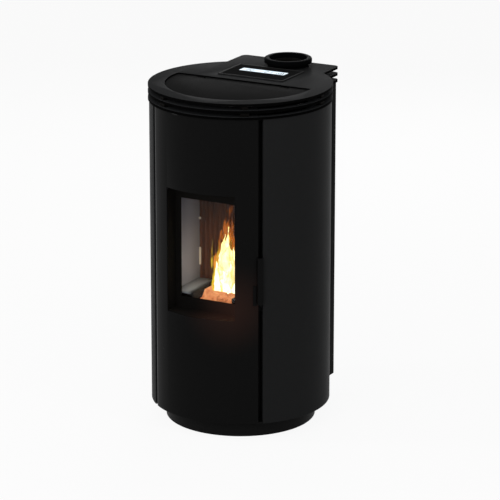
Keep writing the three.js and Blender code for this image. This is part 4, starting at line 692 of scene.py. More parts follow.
def makeGlow(name, look):
    # Light that changes with height and in patches, from a hot colour to a cool one.
    material, tree, shader = newMaterial(name)
    place = objectPlace(tree)
    climb = mapRange(tree, axisOf(tree, place, "Z"), look["low"], look["high"])
    lick = noise(tree, stretched(tree, place, (1, 1, look["stretch"])), look["patch"], *glowLook["patches"])
    mixed = calculate(tree, "MULTIPLY_ADD", climb, look["climb"], lick)
    ramp = addNode(tree, "ShaderNodeValToRGB", {"Fac": mixed})
    steps = ramp.color_ramp.elements
    for step, at, colour in ((steps[0], "hotAt", "hot"), (steps[1], "coolAt", "cool")):
        step.position = look[at]
        step.color = look[colour]
    middle = steps.new((look["hotAt"] + look["coolAt"]) / 2)
    middle.color = look["warm"]
    setInputs(tree, shader, {
        "Emission Color": ramp.outputs["Color"], "Emission Strength": look["strength"],
        "Base Color": look["base"], "Roughness": glowLook["roughness"], "Specular IOR Level": 0.0,
    })
    if look["alpha"] < 1:
        thin = mapRange(tree, mixed, glowLook["thinFrom"], glowLook["thinTo"], look["alpha"], 0.0)
        setInputs(tree, shader, {"Alpha": thin})
    return material


materials = {name: coatMaterial(name, look) for name, look in coats.items()}
materials.update({name: sootMaterial(name, look) for name, look in soots.items()})
materials["floorIron"] = makeFloorIron()
materials["galvanised"] = makeGalvanised()
materials["bareSteel"] = makeBareSteel()
materials["glassRope"] = makeRope()
materials["clearGlass"] = makeGlass()
materials.update({name: makeGlow(name, look) for name, look in glows.items()})
print("materials", len(materials))


# The CAD nodes that stay, and those that only get softer edges.

slotFinish = {
    "plinth": "plinthPowder", "side_paint": "sidePowder", "housing_paint": "housingPowder",
    "plate_paint": "platePowder", "lid_paint": "lidPowder", "door_gloss": "doorEnamel",
    "frame_black": "heatPaint", "door_glass": "clearGlass", "lever_metal": "leverMetal", "rope": "glassRope",
    "stove_black": "heatPaint", "casting": "castIron", "side_liner": "sideLiner", "rear_liner": "rearLiner",
    "sheet_zinc": "galvanised", "bare_steel": "bareSteel", "motor_black": "motorPaint", "bezel": "bezelPaint",
    "display_panel": "panelGloss", "screen": "screenLight", "board": "boardGreen",
    "black_plastic": "blackPlastic", "button": "redPlastic",
}

for node, cadObject in frame["nodes"].items():
    cadObject.data.materials.clear()
    cadObject.data.materials.append(materials[slotFinish[slotOf[node]]])

softened = {
    # node: width of its rounded edges
    "rear_housing": 0.0006, "rear_panel": 0.0004, "door_frame": 0.001, "glass_retainer": 0.0005,
    "firebox_shell": 0.0008, "firebox_stand": 0.0006, "firebox_floor": 0.0012, "side_liner_left": 0.0012,
    "side_liner_right": 0.0012, "smoke_baffle": 0.0012, "burn_pot": 0.001, "ash_pan": 0.0008,
    "hopper": 0.0004, "lid_gasket": 0.002, "door_gasket": 0.003, "air_intake_pipe": 0.0004,
    "mains_inlet": 0.0006, "thermostat": 0.0005, "reset_button": 0.0005, "mains_rocker": 0.0005,
    "rear_liner": 0.0008, "upright_left": 0.0005, "upright_right": 0.0005, "flue_riser": 0.0004,
    "lid_hinge_left": 0.0003, "lid_hinge_right": 0.0003, "levelling_foot_front": 0.0005,
    "levelling_foot_left": 0.0005, "levelling_foot_right": 0.0005,
}

ownFinish = {
    "lid_hinge_left": "heatPaint", "lid_hinge_right": "heatPaint", "burn_pot": "paintedPotFirelight",
    "firebox_floor": "floorIron", "door_frame": "framePaint", "glass_retainer": "framePaint",
}

for node, width in softened.items():
    refineNode(node, width, materials[ownFinish.get(node, slotFinish[slotOf[node]])])
print("softened nodes", len(softened))


sidePanel = {"sheet": 0.002, "fold": 0.016, "foldInset": 0.0003, "edge": 0.0006, "rearGap": 0.0006}


def makeSidePanel(name, node, side):
    low, high = stove["bodyBottom"], stove["bodyTop"]
    inner = stove["radius"] - sidePanel["sheet"]
    rearEdge = 180 - math.degrees(math.asin((stove["housingHalf"] + sidePanel["rearGap"]) / inner))
    frontEdge = side * stove["sideEdge"]
    piece = addCylinder(name + "Skin", stove["radius"], (0, 0, (low + high) / 2), high - low, 180, "NOTHING")
    editing(piece)
    keepAngles(*sorted((frontEdge, side * rearEdge)))
    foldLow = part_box("upright_left")[0].z + sidePanel["foldInset"]
    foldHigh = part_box("upright_left")[1].z - sidePanel["foldInset"]
    for z in (foldLow, foldHigh):
        slicePlane((0, 0, z), (0, 0, 1))
    foldEdge(frontEdge, sidePanel["fold"], foldLow, foldHigh)
    doneEditing()
    applyModifier(piece, "SOLIDIFY", thickness=sidePanel["sheet"], offset=-1, use_even_offset=True)
    softenEdges(piece, sidePanel["edge"])
    finishPiece(piece, "cabinet", materials["sidePowder"], replaced=(node,))


makeSidePanel("sidePanelLeft", "side_panel_left", -1)
makeSidePanel("sidePanelRight", "side_panel_right", 1)


plinth = {
    "radius": 0.211, "sheet": 0.0025, "flange": 0.016, "height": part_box("plinth")[1].z, "round": 0.0012,
    "eye": 0.0002, "footGap": 0.001,
}


def makePlinth():
    radius, sheet, top, eye = plinth["radius"], plinth["sheet"], plinth["height"], plinth["eye"]
    inner = radius - sheet
    lip = radius - plinth["flange"]
    soft = plinth["round"]
    piece = turnProfile("plinthTray", (0, 0), [
        (eye, 0), (radius - soft, 0), (radius, soft), (radius, top - soft / 2), (radius - soft / 2, top),
        (lip, top), (lip, top - sheet), (inner, top - sheet), (inner, sheet), (eye, sheet),
    ], 160)
    editing(piece)
    for z in (0, sheet):
        pick("edges", lambda middle, _: middle.xy.length < 2 * eye and abs(middle.z - z) < eye / 2)
        bpy.ops.mesh.edge_face_add()
    tidyMesh()
    doneEditing()
    for foot in ("front", "left", "right"):
        low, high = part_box("levelling_foot_" + foot)
        middle = (low + high) / 2
        radius = (high.x - low.x) / 2 + plinth["footGap"]
        cut(piece, addCylinder("footHole", radius, (middle.x, middle.y, sheet / 2), 3 * sheet, 48))
    finishPiece(piece, "cabinet", materials["plinthPowder"], replaced=("plinth",))


makePlinth()
print("outer panels")


plates = {
    "thick": 0.007, "edge": 0.0024, "sharp": 50, "slot": (0.216, 0.236), "slotSpan": (40, 80), "neck": 0.2015,
    "neckChord": 0.0065, "flueHole": 0.042, "lidHole": 0.2085, "lidChord": 0.0205, "collarHole": 0.053,
    "displayHole": (-0.0977, 0.0977, 0.0603, 0.1837), "backHalf": 0.153, "corner": 0.016,
}
spacers = {
    "angles": (-93, -31, 31, 93), "outer": 0.2476, "depth": 0.014, "rearX": 0.09, "rearY": (0.274, 0.288),
    "sunk": 0.0005, "edge": 0.0006,
}


def addPlateBlank(name, low, high):
    blank = addCylinder(name, stove["plateRadius"], (0, 0, (low + high) / 2), high - low, 180)
    half = plates["backHalf"]
    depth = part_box("top_plate")[1].y
    back = addBlock("plateBack", (-half, 0, low), (half, depth, high))
    editing(back)
    corner = Vector((half, depth, (low + high) / 2))
    pick("edges", lambda middle, _: (Vector((abs(middle.x), middle.y, middle.z)) - corner).length < near)
    bpy.ops.mesh.bevel(offset=plates["corner"], segments=10, affect="EDGES")
    doneEditing()
    boolean(blank, back, "UNION")
    return blank


def cutForFlue(piece, name, low):
    flueX, flueY = stove["flue"]
    cut(piece, addCylinder(name, plates[name], (flueX, flueY, low), 5 * through, 96))


def makeVentPlate(name, node, spacerWidth):
    low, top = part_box(node)[0].z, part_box(node)[1].z
    high = low + plates["thick"]
    piece = addPlateBlank(name, low, high)
    cut(piece, addHalfRound("neckHole", plates["neck"], plates["neckChord"], low - through, high + through))
    cutForFlue(piece, "flueHole", low)
    start, end = plates["slotSpan"]
    for side in (-1, 1):
        span = sorted((side * start, side * end))
        cut(piece, addSector("ventSlot", *plates["slot"], *span, low - through, high + through))
    softenEdges(piece, plates["edge"], 3, plates["sharp"])
    outer, foot = spacers["outer"], high - spacers["sunk"]
    half = spacerWidth / 2
    turn = math.degrees(half / outer)
    blocks = [
        addSector("spacer", outer - spacers["depth"], outer, angle - turn, angle + turn, foot, top)
        for angle in spacers["angles"]
    ]
    front, back = spacers["rearY"]
    for side in (-1, 1):
        x = side * spacers["rearX"]
        blocks.append(addBlock("spacer", (x - half, front, foot), (x + half, back, top)))
    finishPiece(piece, "cabinet", materials["ventPowder"], replaced=(node,))
    piece = joinPieces(name + "Spacers", blocks)
    softenEdges(piece, spacers["edge"])
    finishPiece(piece, "cabinet", materials["heatPaint"])


def makeTopPlate():
    low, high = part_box("top_plate")[0].z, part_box("top_plate")[1].z
    piece = addPlateBlank("topPlateSurface", low, high)
    cut(piece, addHalfRound("lidHole", plates["lidHole"], plates["lidChord"], low - through, high + through))
    cutForFlue(piece, "collarHole", low)
    left, right, front, back = plates["displayHole"]
    cut(piece, addBlock("displayHole", (left, front, low - through), (right, back, high + through)))
    softenEdges(piece, plates["edge"], 4, plates["sharp"])
    finishPiece(piece, "cabinet", materials["platePowder"], replaced=("top_plate",))


makeVentPlate("ventPlateLower", "vent_plate_lower", 0.025)
makeVentPlate("ventPlateMiddle", "vent_plate_middle", 0.017)
makeTopPlate()
print("plates")


lid = {
    "radius": 0.2075, "chord": 0.0195, "low": 0.952, "high": 0.957, "edge": 0.0014,
    "hinge": 0.13, "axisY": 0.013, "axisZ": 0.9535,
    "notchHalf": 0.012, "notchFront": 0.0052, "notchBack": 0.03,
    "knuckle": 0.0032, "knuckleHalf": 0.004, "pinHole": 0.0022, "web": 0.009, "webInset": 0.001,
}


def makeLid():
    low, high, half, inset = lid["low"], lid["high"], lid["knuckleHalf"], lid["webInset"]
    y, z = lid["axisY"], lid["axisZ"]
    piece = addHalfRound("lidTop", lid["radius"], lid["chord"], low, high)
    hinges = [side * lid["hinge"] for side in (-1, 1)]
    wide, front, back = lid["notchHalf"], y - lid["notchFront"], lid["notchBack"]
    for x in hinges:
        cut(piece, addBlock("notch", (x - wide, front, low - through), (x + wide, back, high + through)))
    softenEdges(piece, lid["edge"], 3, 50)
    knuckles = []
    for x in hinges:
        knuckle = addCrossBar("knuckle", lid["knuckle"], (x, y, z), 2 * half)
        web = addBlock("web", (x - half, y - lid["web"], low + inset), (x + half, y, high - inset))
        boolean(knuckle, web, "UNION")
        cut(knuckle, addCrossBar("bore", lid["pinHole"], (x, y, z), 2 * through))
        knuckles.append(knuckle)
    piece = joinPieces("lidTop", [piece] + knuckles)
    finishPiece(piece, "lid", materials["lidPowder"], replaced=("lid_panel",))


makeLid()


collar = {"base": 0.058, "rim": 0.0675, "bore": 0.053, "riser": 0.0403, "neck": 0.008, "shelf": 0.003}


def makeCollar():
    # Up the outside, over the rounded rim, down the bore and in to the riser.
    base, rim, bore, riser = collar["base"], collar["rim"], collar["bore"], collar["riser"]
    foot, top = stove["topSurface"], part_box("flue_collar")[1].z
    under = foot + collar["neck"]
    shelf = foot + collar["shelf"]
    piece = turnProfile("flueCollarRing", stove["flue"], [
        (riser, foot), (base, foot), (base, under - 0.002), (base + 0.001, under - 0.001),
        (rim - 0.003, under), (rim - 0.0008, under + 0.0012), (rim, under + 0.0035),
        (rim, top - 0.0045), (rim - 0.0012, top - 0.0015), (rim - 0.004, top),
        (bore + 0.003, top), (bore + 0.0008, top - 0.0008), (bore, top - 0.003),
        (bore, shelf), (riser, shelf), (riser, foot),
    ], 128)
    finishPiece(piece, "cabinet", materials["collarPowder"], 40, ("flue_collar",))


makeCollar()
print("lid and collar")


door = {
    "sheet": 0.003, "fold": 0.013, "foldInset": 0.005, "edge": 0.0007,
    "window": (-0.1055, 0.1055, 0.349, 0.702),
}


def makeDoorSkin():
    edgeAngle = stove["doorEdge"]
    low, high = stove["bodyBottom"], stove["bodyTop"]
    piece = addCylinder("doorSkin", stove["radius"], (0, 0, (low + high) / 2), high - low, 180, "NOTHING")
    editing(piece)
    keepAngles(-edgeAngle, edgeAngle)
    left, right, bottom, top = door["window"]
    for x in (left, right):
        slicePlane((x, 0, 0), (1, 0, 0))
    foldLow, foldHigh = low + door["foldInset"], high - door["foldInset"]
    for z in (bottom, top, foldLow, foldHigh):
        slicePlane((0, 0, z), (0, 0, 1))
    pick("faces", lambda middle, _: left < middle.x < right and bottom < middle.z < top)
    bpy.ops.mesh.delete(type="FACE")
    for side in (-1, 1):
        foldEdge(side * edgeAngle, door["fold"], foldLow, foldHigh)
    doneEditing()
    applyModifier(piece, "SOLIDIFY", thickness=door["sheet"], offset=-1, use_even_offset=True)
    softenEdges(piece, door["edge"])
    finishPiece(piece, "door", materials["doorEnamel"], replaced=("door_panel",))


lugs = {
    "heights": (0.056, 0.907), "sheet": 0.003, "pinAt": 0.247, "radius": 0.005, "hole": 0.0028,
    "tongue": (0.2435, 0.2495), "tongueOverlap": 0.4, "edge": 0.0003,
}


def makeHingeLugs():
    centre = polar(lugs["pinAt"], -stove["grooveMiddle"])
    span = (-stove["grooveMiddle"], -stove["doorEdge"] + lugs["tongueOverlap"])
    made = []
    for z in lugs["heights"]:
        middle = (centre.x, centre.y, z + lugs["sheet"] / 2)
        lug = addCylinder("lug", lugs["radius"], middle, lugs["sheet"], 40)
        boolean(lug, addSector("tongue", *lugs["tongue"], *span, z, z + lugs["sheet"]), "UNION")
        cut(lug, addCylinder("hole", lugs["hole"], middle, 2 * through, 40))
        softenEdges(lug, lugs["edge"])
        made.append(lug)
    finishPiece(joinPieces("hingeLugs", made), "door", materials["heatPaint"])


makeDoorSkin()
makeHingeLugs()


# The latch lever is drawn at the front and then turned into its groove.

lever = {
    "bar": (-0.0105, 0.0045), "standoff": 0.002, "thick": 0.008, "low": 0.397, "high": 0.529,
    "ends": ((0.529, 0.55), (0.397, 0.7)), "endWidth": 0.92, "barEdge": 0.0016,
    "half": 0.003, "pivot": 0.244, "pivotZ": 0.396, "pin": 0.0025,
    # how far from the stove's axis, outer and inner, then from and to which height
    "web": (0.255, 0.239, 0.391, 0.436), "arm": (0.244, 0.220, 0.3915, 0.4005),
    "tooth": (0.225, 0.220, 0.3825, 0.3935),
}


def turnToGroove(piece):
    selectPieces([piece])
    piece.rotation_euler.z = math.radians(stove["grooveMiddle"])
    applyTransform()


def addLeverBlock(name):
    outer, inner, low, high = lever[name]
    return addBlock(name, (-lever["half"], -outer, low), (lever["half"], -inner, high))


def makeLever():
    front = stove["radius"] + lever["standoff"]
    left, right = lever["bar"]
    bar = addBlock("leverBar", (left, -front - lever["thick"], lever["low"]), (right, -front, lever["high"]))
    editing(bar)
    for height, slim in lever["ends"]:
        pick("faces", lambda middle, _: abs(middle.z - height) < near)
        bpy.ops.mesh.extrude_region_move(TRANSFORM_OT_translate={"value": (0, 0, 0)})
        bpy.ops.transform.resize(
            value=(lever["endWidth"], slim, 1), center_override=((left + right) / 2, -front, height)
        )
    tidyMesh()
    doneEditing()
    softenEdges(bar, lever["barEdge"], 4, 40)
    web = addLeverBlock("web")
    softenEdges(web, lever["barEdge"] / 2)
    arm = addLeverBlock("arm")
    tooth = addLeverBlock("tooth")
    pivot = (-lever["half"], -lever["pivot"], lever["pivotZ"])
    pin = addCrossBar("pin", lever["pin"], pivot, 2 * lever["half"])
    piece = joinPieces("latchLever", [bar, web, arm, tooth, pin])
    turnToGroove(piece)
    finishPiece(piece, "handle", materials["leverMetal"], replaced=("door_lever",))


bracket = {
    "face": (-0.0218, -0.0108), "thick": 0.003, "proud": 0.0006, "lap": 0.001, "faceEdge": 0.0012,
    "span": (0.393, 0.450), "cheek": (-0.0074, -0.0033), "cheekInner": 0.237, "cheekEdge": 0.0006,
    "boreX": -0.005, "bore": 0.0029,
}


def makeLeverBracket():
    body, proud = -stove["radius"], bracket["proud"]
    low, high = bracket["span"]
    left, right = bracket["face"]
    front, back = body - bracket["thick"] + proud, body + bracket["lap"]
    face = addBlock("face", (left, front, low), (right, back, high))
    softenEdges(face, bracket["faceEdge"], 3, 40)
    left, right = bracket["cheek"]
    cheek = addBlock("cheek", (left, body + proud, low), (right, -bracket["cheekInner"], high))
    softenEdges(cheek, bracket["cheekEdge"])
    pivot = (bracket["boreX"], -lever["pivot"], lever["pivotZ"])
    cut(cheek, addCrossBar("bore", bracket["bore"], pivot, 3 * through))
    piece = joinPieces("leverBracket", [face, cheek])
    turnToGroove(piece)
    finishPiece(piece, "door", materials["leverMetal"])


makeLever()
makeLeverBracket()
print("door and lever")


bezel = {
    "outer": (-0.102, 0.102, 0.056, 0.188), "rim": 0.0045, "edge": 0.001, "pocket": 0.2,
    "trayInset": 0.004, "trayLow": 0.948, "traySheet": 0.002, "trayDrop": 0.0012, "hollowTop": 1.0,
}


def makeBezel():
    left, right, front, back = bezel["outer"]
    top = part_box("display_bezel")[1].z

    def inside(name, inset, low, high):
        return addBlock(name, (left + inset, front + inset, low), (right - inset, back - inset, high))

    piece = inside("displayRim", 0, stove["topSurface"], top)
    cut(piece, inside("pocket", bezel["rim"], top - bezel["pocket"], top + through))
    softenEdges(piece, bezel["edge"], 3, 40)
    inset, sheet, trayLow = bezel["trayInset"], bezel["traySheet"], bezel["trayLow"]
    tray = inside("tray", inset, trayLow, top - bezel["trayDrop"])
    cut(tray, inside("hollow", inset + sheet, trayLow + sheet, bezel["hollowTop"]))
    piece = joinPieces("displayRim", [piece, tray])
    finishPiece(piece, "cabinet", materials["bezelPaint"], replaced=("display_bezel",))


digits = {
    "width": 0.0075, "height": 0.014, "stroke": 0.0014, "proud": 0.0002, "foot": 0.1275, "step": 0.012,
    "pairs": (("20", -0.052), ("21", 0.006)),
    "bars": 4, "barFrom": 0.042, "barStep": 0.006, "barWidth": 0.004, "barHeight": 0.0035,
}
segmentsOf = {"0": "abcdef", "1": "bc", "2": "abged"}


def addDigit(symbol, x, z):
    # Seven strokes on a small face, as on any clock display.
    w, h, s, y = digits["width"], digits["height"], digits["stroke"], digits["foot"]
    spots = {
        "a": (x, y + h, w, s), "b": (x + w, y + h / 2, s, h / 2), "c": (x + w, y, s, h / 2),
        "d": (x, y, w, s), "e": (x, y, s, h / 2), "f": (x, y + h / 2, s, h / 2), "g": (x, y + h / 2, w, s),
    }
    strokes, under = [], z - digits["proud"]
    for segment in segmentsOf[symbol]:
        left, front, width, depth = spots[segment]
        strokes.append(addBlock("stroke", (left, front, under), (left + width, front + depth, z)))
    return strokes


def makeDigits():
    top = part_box("display_screen")[1].z + digits["proud"]
    strokes = []
    for symbols, x in digits["pairs"]:
        for symbol in symbols:
            strokes += addDigit(symbol, x, top)
            x += digits["step"]
    front, under = digits["foot"], top - digits["proud"]
    for i in range(digits["bars"]):
        left = digits["barFrom"] + i * digits["barStep"]
        back = front + (i + 1) * digits["barHeight"]
        strokes.append(addBlock("bar", (left, front, under), (left + digits["barWidth"], back, top)))
    piece = joinPieces("screenDigits", strokes)
    finishPiece(piece, "cabinet", materials["blackPlastic"], smooth=0)


makeBezel()
makeDigits()
print("display")


fire = {
    # tongues, wisps and licks: x, y, foot, top, half width, lean at the tip
    "tongues": [
        (-0.029, -0.080, 0.370, 0.572, 0.018, 0.016), (-0.010, -0.074, 0.368, 0.610, 0.021, 0.014),
        (0.011, -0.080, 0.368, 0.640, 0.023, -0.002), (0.031, -0.076, 0.370, 0.575, 0.017, -0.012),
        (-0.016, -0.090, 0.372, 0.505, 0.016, -0.008), (0.020, -0.092, 0.372, 0.525, 0.015, 0.008),
        (0.002, -0.064, 0.370, 0.560, 0.017, 0.008),
    ],
    "wisps": [
        (-0.024, -0.078, 0.480, 0.575, 0.0045, 0.010), (-0.006, -0.078, 0.540, 0.628, 0.0045, 0.006),
        (0.010, -0.078, 0.570, 0.645, 0.005, 0.002), (-0.036, -0.082, 0.440, 0.500, 0.004, 0.004),
    ],
    "licks": [(-0.063, -0.052, 0.430, 0.530, 0.0024, 0.003), (-0.055, -0.050, 0.412, 0.468, 0.0028, -0.003)],
    # finish: share of the width, share of the height, how far it stands in front
    "shells": {
        "flameCore": (0.62, 0.80, 0.012), "flameBody": (0.88, 0.90, 0.002), "flameEdge": (0.92, 0.97, -0.006),
    },
    "coreFrom": -0.02, "grain": 0.0018, "ripple": 0.010, "rippleSize": 0.026,
}
tongueShape = {
    "levels": 16, "sides": 20, "footShare": 0.5, "tip": 0.0004, "belly": (0.72, 0.28, 0.9), "leanPower": 1.5,
    "waver": (0.35, 5.5), "squeeze": (0.25, 7), "drawBack": 0.2,
}


def addTongue(name, x, y, foot, top, width, lean, seed):
    # A flat disc drawn up level by level, leaning and wavering as it thins to a tip.
    levels, back = tongueShape["levels"], tongueShape["drawBack"]
    climb, start, power = tongueShape["belly"]
    waver, waves = tongueShape["waver"]
    squash, turns = tongueShape["squeeze"]
    oldRadius, oldX = width * tongueShape["footShare"], x
    clearSelection()
    bpy.ops.mesh.primitive_circle_add(
        vertices=tongueShape["sides"], radius=oldRadius, location=(x, y, foot)
    )
    piece = startPiece(name)
    editing(piece)
    bpy.ops.mesh.edge_face_add()
    for i in range(1, levels + 1):
        share = i / levels
        z = foot + (top - foot) * share
        body = math.sin(math.pi * min(1, share * climb + start)) ** power
        radius = max(tongueShape["tip"], width * body * (1 - share ** 3))
        sway = lean * share ** tongueShape["leanPower"]
        sway += width * waver * math.sin(waves * share + seed) * share
        step = x + sway - oldX
        bpy.ops.mesh.extrude_region_move(
            TRANSFORM_OT_translate={"value": (step, back * step, (top - foot) / levels)}
        )
        ratio = radius / oldRadius
        squeeze = 1 + squash * math.sin(turns * share + 2 * seed)
        bpy.ops.transform.resize(
            value=(ratio * squeeze, ratio, 1), center_override=(x + sway, y + back * sway, z)
        )
        oldRadius, oldX = radius * squeeze, x + sway
    tidyMesh()
    doneEditing()
    return piece


def makeFlameShell(finish, share, rise, forward):
    # All tongues of one shell run together, then the draught ripples them.
    tongues = [
        addTongue("tongue", x, y - forward, foot, foot + (top - foot) * rise, width * share, lean * rise, i)
        for i, (x, y, foot, top, width, lean) in enumerate(fire["tongues"])
        if not (finish == "flameCore" and x < fire["coreFrom"])
    ]
    if finish == "flameEdge":
        tongues += [addTongue("wisp", *wisp, i + 2) for i, wisp in enumerate(fire["wisps"])]
    piece = joinPieces(finish, tongues)
    applyModifier(piece, "REMESH", mode="VOXEL", voxel_size=fire["grain"])
    draught = bpy.data.textures.new(finish + "Draught", "CLOUDS")
    draught.noise_scale = fire["rippleSize"]
    draught.noise_depth = 2
    applyModifier(
        piece, "DISPLACE", texture=draught, texture_coords="LOCAL", strength=fire["ripple"], mid_level=0.5
    )
    finishPiece(piece, "pot", materials[finish], 60)


def makeFlames():
    for finish, (share, rise, forward) in fire["shells"].items():
        makeFlameShell(finish, share, rise, forward)
    licks = [addTongue("lick", *lick, i + 3) for i, lick in enumerate(fire["licks"])]
    finishPiece(joinPieces("flameLicks", licks), "pot", materials["flameBody"], 60)


pellets = {
    "bed": (-0.046, 0.046, -0.102, -0.053), "low": 0.350, "rise": 0.03, "crown": 0.3, "gather": 0.92,
    "radius": 0.003, "length": 0.016, "edge": 0.0006, "count": 150, "tilt": 0.25,
}


def pseudo(seed):
    # A fixed scatter between 0 and 1, the same on each run.
    value = math.sin(seed * 12.9898) * 43758.5453
    return value - math.floor(value)


def makePellets():
    left, right, front, back = pellets["bed"]
    clearSelection()
    bpy.ops.mesh.primitive_cylinder_add(
        vertices=8, radius=pellets["radius"], depth=pellets["length"], location=(0, 0, 0)
    )
    pellet = startPiece("pellet")
    softenEdges(pellet, pellets["edge"], 1, 40)
    heap = []
    for i in range(pellets["count"]):
        copy = pellet.copy()
        copy.data = pellet.data.copy()
        scene.collection.objects.link(copy)
        across, along, height, tilt, turn = [pseudo(i + draw) for draw in (1, 101, 201, 301, 401)]
        x = left + (right - left) * across
        y = front + (back - front) * along
        crown = 1 - ((2 * across - 1) ** 2 + (2 * along - 1) ** 2) * pellets["crown"]
        copy.location = (x * pellets["gather"], y, pellets["low"] + pellets["rise"] * height * crown)
        copy.rotation_euler = (math.pi * (0.5 + pellets["tilt"] * (tilt - 0.5)), 0, math.tau * turn)
        heap.append(copy)
    bpy.data.objects.remove(pellet)
    selectPieces(heap)
    applyTransform()
    piece = joinPieces("pelletBed", heap)
    finishPiece(piece, "pot", materials["embers"], 40)


clips = {
    # spots: foot and height; each clip stands on a side liner's face, in front of the fluted liner
    "spots": ((0.5605, 0.006), (0.428, 0.050)), "linerX": 0.115, "linerY": -0.028, "reach": 0.0055,
    "depth": 0.005, "sunk": 0.0002, "gap": 0.0005, "wire": 0.0018,
}


def makeLinerClips():
    # Bent spring clips that hold the side liners at the corners of the fluted one.
    pieces = []
    for side in (-1, 1):
        x = side * clips["linerX"]
        left, right = sorted((x, x - side * clips["reach"]))
        for foot, height in clips["spots"]:
            low = (left - clips["sunk"], clips["linerY"] - clips["depth"], foot)
            clip = addBlock("clip", low, (right, clips["linerY"] - clips["gap"], foot + height))
            softenEdges(clip, clips["wire"] / 2)
            pieces.append(clip)
    finishPiece(joinPieces("linerClips", pieces), "cabinet", materials["clipZinc"])


makeFlames()
makePellets()
makeLinerClips()
print("fire")


screw = {
    "radius": 0.0034, "height": 0.0018, "socket": 0.0008, "sunk": 0.0003, "crown": 0.0003,
    "rings": (0.3, 0.25), "edge": 0.0002,
    "rearX": (-0.119, 0.119), "rearZ": (0.088, 0.28, 0.485, 0.69, 0.882),
    "inletX": (-0.1047, -0.0513), "inletZ": 0.12, "inletProud": 0.002, "sideY": 0.24, "sideZ": (0.30, 0.60),
}


def addScrew(place, axis):
    # A low button head with a round socket, pushed 0.3 mm into what it holds.
    middle = screw["height"] / 2 - screw["sunk"]
    clearSelection()
    bpy.ops.mesh.primitive_cylinder_add(
        vertices=24, radius=screw["radius"], depth=screw["height"], location=(0, 0, middle)
    )
    head = startPiece("screwHead")
    editing(head)
    pick("faces", lambda _, normal: normal.z > 0.9)
    for ring, rise in zip(screw["rings"], (screw["crown"], 0)):
        bpy.ops.mesh.inset(thickness=screw["radius"] * ring, depth=rise)
    bpy.ops.mesh.extrude_region_move(TRANSFORM_OT_translate={"value": (0, 0, -screw["socket"])})
    doneEditing()
    softenEdges(head, screw["edge"], 1, 40)
    head.rotation_euler = Vector(axis).to_track_quat("Z", "Y").to_euler()
    head.location = place
    return head


def makeScrews():
    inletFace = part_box("mains_inlet")[1].y
    face = inletFace - screw["inletProud"]
    screws = [addScrew((x, face, z), (0, 1, 0)) for x in screw["rearX"] for z in screw["rearZ"]]
    inlet = [addScrew((x, inletFace, screw["inletZ"]), (0, 1, 0)) for x in screw["inletX"]]
    for side in (-1, 1):
        for z in screw["sideZ"]:
            screws.append(addScrew((side * stove["housingHalf"], screw["sideY"], z), (side, 0, 0)))
    piece = joinPieces("coverScrews", screws + inlet)
    finishPiece(piece, "cabinet", materials["bareSteel"], 40)


makeScrews()
print("screws")


camera = {
    "azimuth": 28.2, "pitch": 16.702, "distance": 8.258, "lens": 212.4,
    "aimRight": 0.02645, "aimHeight": 0.4774,
}


def makeCamera():
    side = tangent(camera["azimuth"])
    outwards = polar(1, camera["azimuth"])
    pitch = math.radians(camera["pitch"])
    target = side * camera["aimRight"] + Vector((0, 0, camera["aimHeight"]))
    place = target + (outwards * math.cos(pitch) + Vector((0, 0, math.sin(pitch)))) * camera["distance"]
    data = bpy.data.cameras.new("stoveCamera")
    data.lens = camera["lens"]
    data.sensor_width = 36
    eye = bpy.data.objects.new("stoveCamera", data)
    scene.collection.objects.link(eye)
    eye.location = place
    eye.rotation_euler = (target - place).to_track_quat("-Z", "Y").to_euler()
    scene.camera = eye


lamps = {
    # name: place, aim, width, height, watts
    "leftPanel": ((-2.6, -1.6, 1.6), (0, 0, 0.6), 0.5, 2.4, 26),
    "frontPanel": ((0.2, -4.2, 2.2), (0, 0, 0.5), 2.2, 1.6, 28),
    "rightPanel": ((3.0, -0.8, 1.8), (0, 0, 0.5), 0.9, 2.4, 15),
    "topPanel": ((0.05, -0.75, 1.9), (0, -0.1, 0.95), 0.7, 0.5, 2),
    "rearPanel": ((-1.2, 3.2, 2.0), (0, 0, 0.5), 1.6, 1.6, 30),
}
fireLamp = {"place": (0.0, -0.125, 0.45), "size": 0.025, "watts": 0.42, "colour": (1.0, 0.84, 0.62)}


def addLamp(name, kind, place, watts):
    data = bpy.data.lights.new(name, kind)
    data.energy = watts
    lamp = bpy.data.objects.new(name, data)
    scene.collection.objects.link(lamp)
    lamp.location = place
    return lamp, data


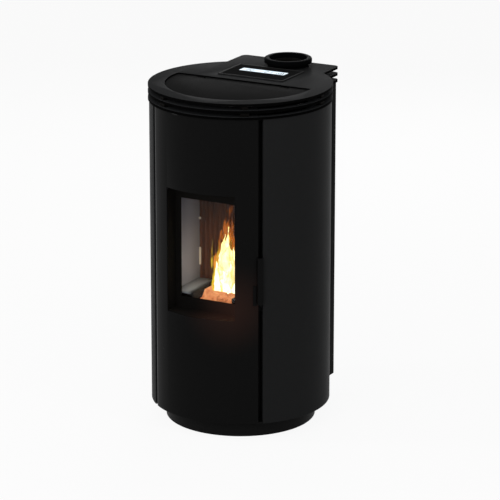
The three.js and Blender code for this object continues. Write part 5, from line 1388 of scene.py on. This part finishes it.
def makeLamps():
    for name, (place, aim, width, height, watts) in lamps.items():
        lamp, data = addLamp(name, "AREA", place, watts)
        data.shape = "RECTANGLE"
        data.size = width
        data.size_y = height
        lamp.rotation_euler = (Vector(aim) - Vector(place)).to_track_quat("-Z", "Y").to_euler()


def makeFireLamp():
    # The flames' light on the liners. The flames are seen themselves, so the lamp isn't.
    lamp, data = addLamp("fireLamp", "POINT", fireLamp["place"], fireLamp["watts"])
    data.shadow_soft_size = fireLamp["size"]
    data.color = fireLamp["colour"]
    lamp.visible_camera = False
    lamp.visible_glossy = False
    lamp.visible_transmission = False


studio = {
    "seenBy": ("Is Camera Ray", "Is Glossy Ray", "Is Transmission Ray"), "fill": 0.4,
    "floorSize": 60, "floorTone": 0.9, "floorRoughness": 0.9, "floorGlow": 0.92,
}


def seenRays(tree):
    rays = addNode(tree, "ShaderNodeLightPath", {}).outputs
    first, second, third = [rays[label] for label in studio["seenBy"]]
    return calculate(tree, "MAXIMUM", calculate(tree, "MAXIMUM", first, second), third)


def makeWorld():
    # White where it is seen or mirrored, and dimmer as a light on the stove.
    world = bpy.data.worlds.new("paleStudio")
    scene.world = world
    world.use_nodes = True
    tree = world.node_tree
    level = mapRange(tree, seenRays(tree), 0.0, 1.0, studio["fill"], 1.0)
    setInputs(tree, tree.nodes["Background"], {"Color": (1, 1, 1, 1), "Strength": level})


def makeFloor():
    clearSelection()
    bpy.ops.mesh.primitive_plane_add(size=studio["floorSize"], location=(0, 0, 0))
    floor = startPiece("studioFloor")
    material, tree, shader = newMaterial("paleFloor")
    setInputs(tree, shader, {
        "Base Color": grey(studio["floorTone"]), "Roughness": studio["floorRoughness"],
        "Specular IOR Level": 0.0,
    })
    glow = addNode(tree, "ShaderNodeEmission", {"Strength": 1.0})
    share = calculate(tree, "MULTIPLY", seenRays(tree), studio["floorGlow"])
    mix = addNode(tree, "ShaderNodeMixShader", {0: share, 1: shader.outputs[0], 2: glow.outputs[0]})
    setInputs(tree, tree.nodes["Material Output"], {"Surface": mix.outputs[0]})
    floor.data.materials.append(material)


makeCamera()
makeLamps()
makeFireLamp()
makeWorld()
makeFloor()
scene.view_settings.view_transform = "Standard"
print("studio")
